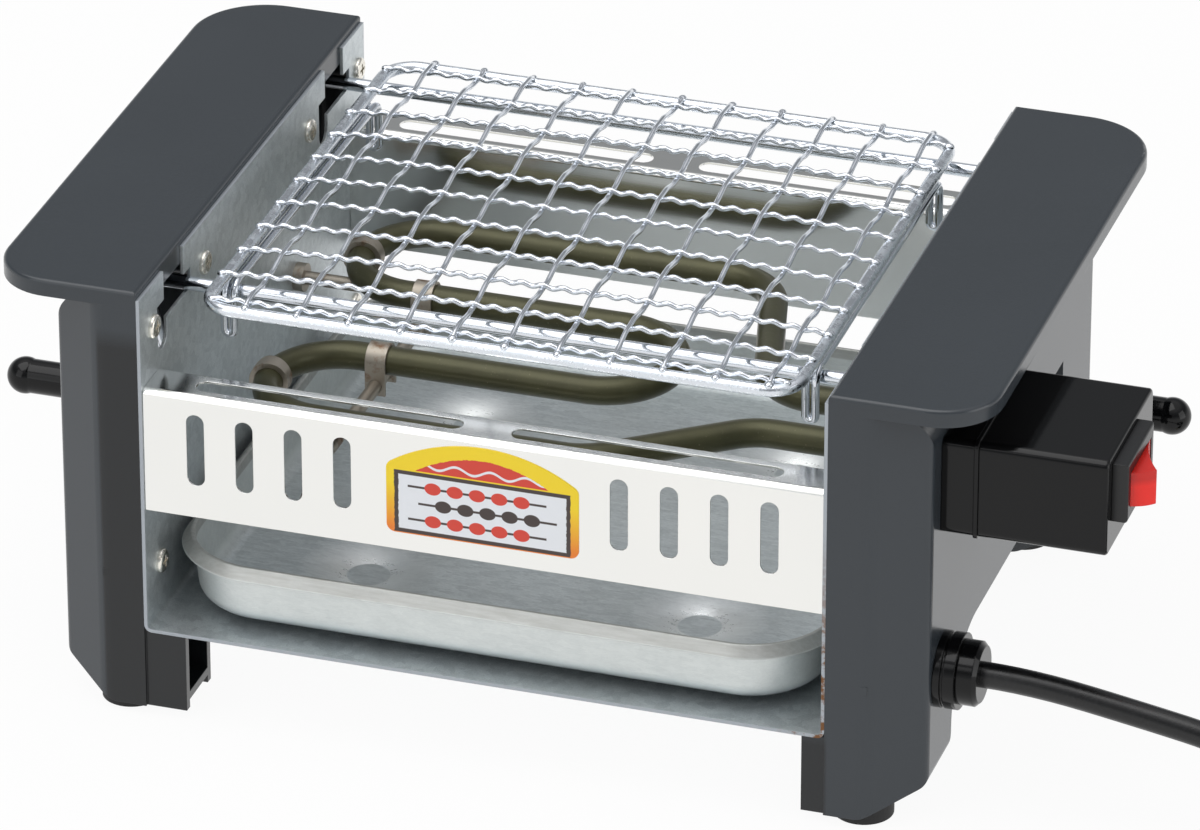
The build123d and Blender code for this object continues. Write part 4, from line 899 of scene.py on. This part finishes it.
class GRILL_OT_inner_leads(Operator):
    """Finish the sleeved leads inside the leg and the switch box"""

    bl_idname = "grill.inner_leads"
    bl_label = "Inner leads"

    def execute(self, context):
        colours = context.scene.grill_mouldings
        finish = Finish("woven_sleeve")
        x, y, z = finish.parts(finish.place())
        threads = pi / (0.35 * MM)
        weave = ((x + y + z) * threads).sine() * ((x - y + z) * threads).sine()
        soil = finish.noise(180, 4)
        paint(
            finish.surface(
                finish.mix(soil * 0.4 + weave * 0.15, tuple(colours.sleeve), tone(160, 154, 138)),
                0.7,
                Normal=finish.bump(weave, 0.05 * MM),
            ),
            "live_lead",
            "switched_lead",
            "neutral_lead",
            "fused_lead",
        )
        return {"FINISHED"}


def studio_world(studio, scene):
    """Even light, a dome that only shiny surfaces see, and a white background for the camera."""
    scene.world = bpy.data.worlds.new("studio_world")
    sky = Finish("studio_world", scene.world)
    rays = sky.add("LightPath").output.node.outputs
    camera_ray = Socket(sky, rays["Is Camera Ray"])
    shiny_ray = Socket(sky, rays["Is Glossy Ray"]).larger(Socket(sky, rays["Is Transmission Ray"]))
    up = sky.parts(sky.add("TexCoord", outlet="Generated"))[2]
    stops = (
        (0.0, (1, 1, 1)),
        (1.0, (1, 1, 1)),
        (0.52, (1, 1, 1)),
        (0.6, (0.6, 0.62, 0.64)),
        (0.7, (0.24, 0.25, 0.26)),
        (0.82, (0.4, 0.41, 0.43)),
        (0.92, (0.9, 0.9, 0.92)),
    )
    dome = sky.add("ValToRGB", {"stops": stops}, {0: up * 0.5 + 0.5})
    light = sky.mix(shiny_ray, (studio.ambient,) * 3, dome)
    light = sky.mix(camera_ray, light, (1, 1, 1))
    background = sky.add("Background", values={"Color": light, "Strength": 1.0})
    output = sky.tree.nodes.new("ShaderNodeOutputWorld")
    sky.tree.links.new(background.output, output.inputs["Surface"])


def studio_floor(studio, scene):
    """A flat table that keeps shadows, and glows white for the camera and for shiny surfaces."""
    finish = Finish("studio_floor")
    rays = finish.add("LightPath").output.node.outputs
    seen = Socket(finish, rays["Is Camera Ray"])
    for kind in ("Is Glossy Ray", "Is Transmission Ray"):
        seen = seen.larger(Socket(finish, rays[kind]))
    matt = finish.add("BsdfDiffuse", values={"Color": (*studio.floor, 1)})
    glow = finish.add("Emission", values={"Color": (1, 1, 1, 1), "Strength": 1.0})
    glow_share, reach = 0.94, 4.0
    finish.add_output(finish.add("MixShader", values={0: seen * glow_share, 1: matt, 2: glow}))
    mesh = bpy.data.meshes.new("studio_floor")
    corners = [(-reach, -reach, 0), (reach, -reach, 0), (reach, reach, 0), (-reach, reach, 0)]
    mesh.from_pydata(corners, [], [(0, 1, 2, 3)])
    mesh.materials.append(finish.material)
    floor = bpy.data.objects.new("studio_floor", mesh)
    scene.collection.objects.link(floor)


def studio_lamps(studio, scene):
    """Three softboxes turned to the object, each with its power, its width and its place."""
    for name, power, width, place in (
        ("key_softbox", studio.key_power, 1.5, (-0.35, -0.25, 1.6)),
        ("fill_softbox", studio.fill_power, 1.2, (-0.9, -1.5, 0.9)),
        ("side_softbox", studio.side_power, 1.0, (1.5, -0.2, 0.5)),
    ):
        lamp = bpy.data.lights.new(name, "AREA")
        lamp.energy = power
        lamp.size = width
        holder = bpy.data.objects.new(name, lamp)
        scene.collection.objects.link(holder)
        holder.location = place
        holder.rotation_euler = (-holder.location).to_track_quat("-Z", "Y").to_euler()


def studio_camera(studio, scene):
    """The camera at the photograph's place, turn and focal length."""
    camera_data = bpy.data.cameras.new("photo_camera")
    camera_data.lens = studio.lens
    camera_data.sensor_width = 36
    camera_data.clip_end = 20
    camera = bpy.data.objects.new("photo_camera", camera_data)
    camera.location = studio.camera_place
    camera.rotation_euler = studio.camera_turn
    scene.collection.objects.link(camera)
    scene.camera = camera


class GRILL_OT_studio(Operator):
    """Set up the table, the soft lights and the camera"""

    bl_idname = "grill.studio"
    bl_label = "Studio"

    def execute(self, context):
        context.scene.view_settings.view_transform = "Standard"
        for step in (studio_world, studio_floor, studio_lamps, studio_camera):
            step(context.scene.grill_studio, context.scene)
        return {"FINISHED"}


STEPS = (
    GRILL_OT_mains_lead,
    GRILL_OT_net,
    GRILL_OT_rods,
    GRILL_OT_sheet_metal,
    GRILL_OT_label,
    GRILL_OT_heater,
    GRILL_OT_mouldings,
    GRILL_OT_rocker,
    GRILL_OT_fittings,
    GRILL_OT_inner_leads,
    GRILL_OT_studio,
)
GROUPS = {
    "grill_net": NetSizes,
    "grill_lead": LeadSizes,
    "grill_steel": SteelColours,
    "grill_mouldings": MouldingColours,
    "grill_label": LabelColours,
    "grill_studio": StudioSettings,
}


class GRILL_PT_steps(Panel):
    """List the steps that make the grill"""

    bl_idname = "GRILL_PT_steps"
    bl_label = "Skewer grill"
    bl_space_type = "VIEW_3D"
    bl_region_type = "UI"
    bl_category = "Grill"

    def draw(self, context):
        for step in STEPS:
            self.layout.operator(step.bl_idname)
        for group, kind in GROUPS.items():
            box = self.layout.box()
            for name in kind.__annotations__:
                box.prop(getattr(context.scene, group), name)


def register():
    for kind in (*GROUPS.values(), *STEPS, GRILL_PT_steps):
        bpy.utils.register_class(kind)
    for name, kind in GROUPS.items():
        setattr(bpy.types.Scene, name, PointerProperty(type=kind))


def unregister():
    for name in GROUPS:
        delattr(bpy.types.Scene, name)
    for kind in (GRILL_PT_steps, *STEPS[::-1], *GROUPS.values()):
        bpy.utils.unregister_class(kind)


def main():
    register()
    for step in STEPS:
        name = step.bl_idname.split(".")[1]
        getattr(bpy.ops.grill, name)()


if __name__ == "__main__":
    main()
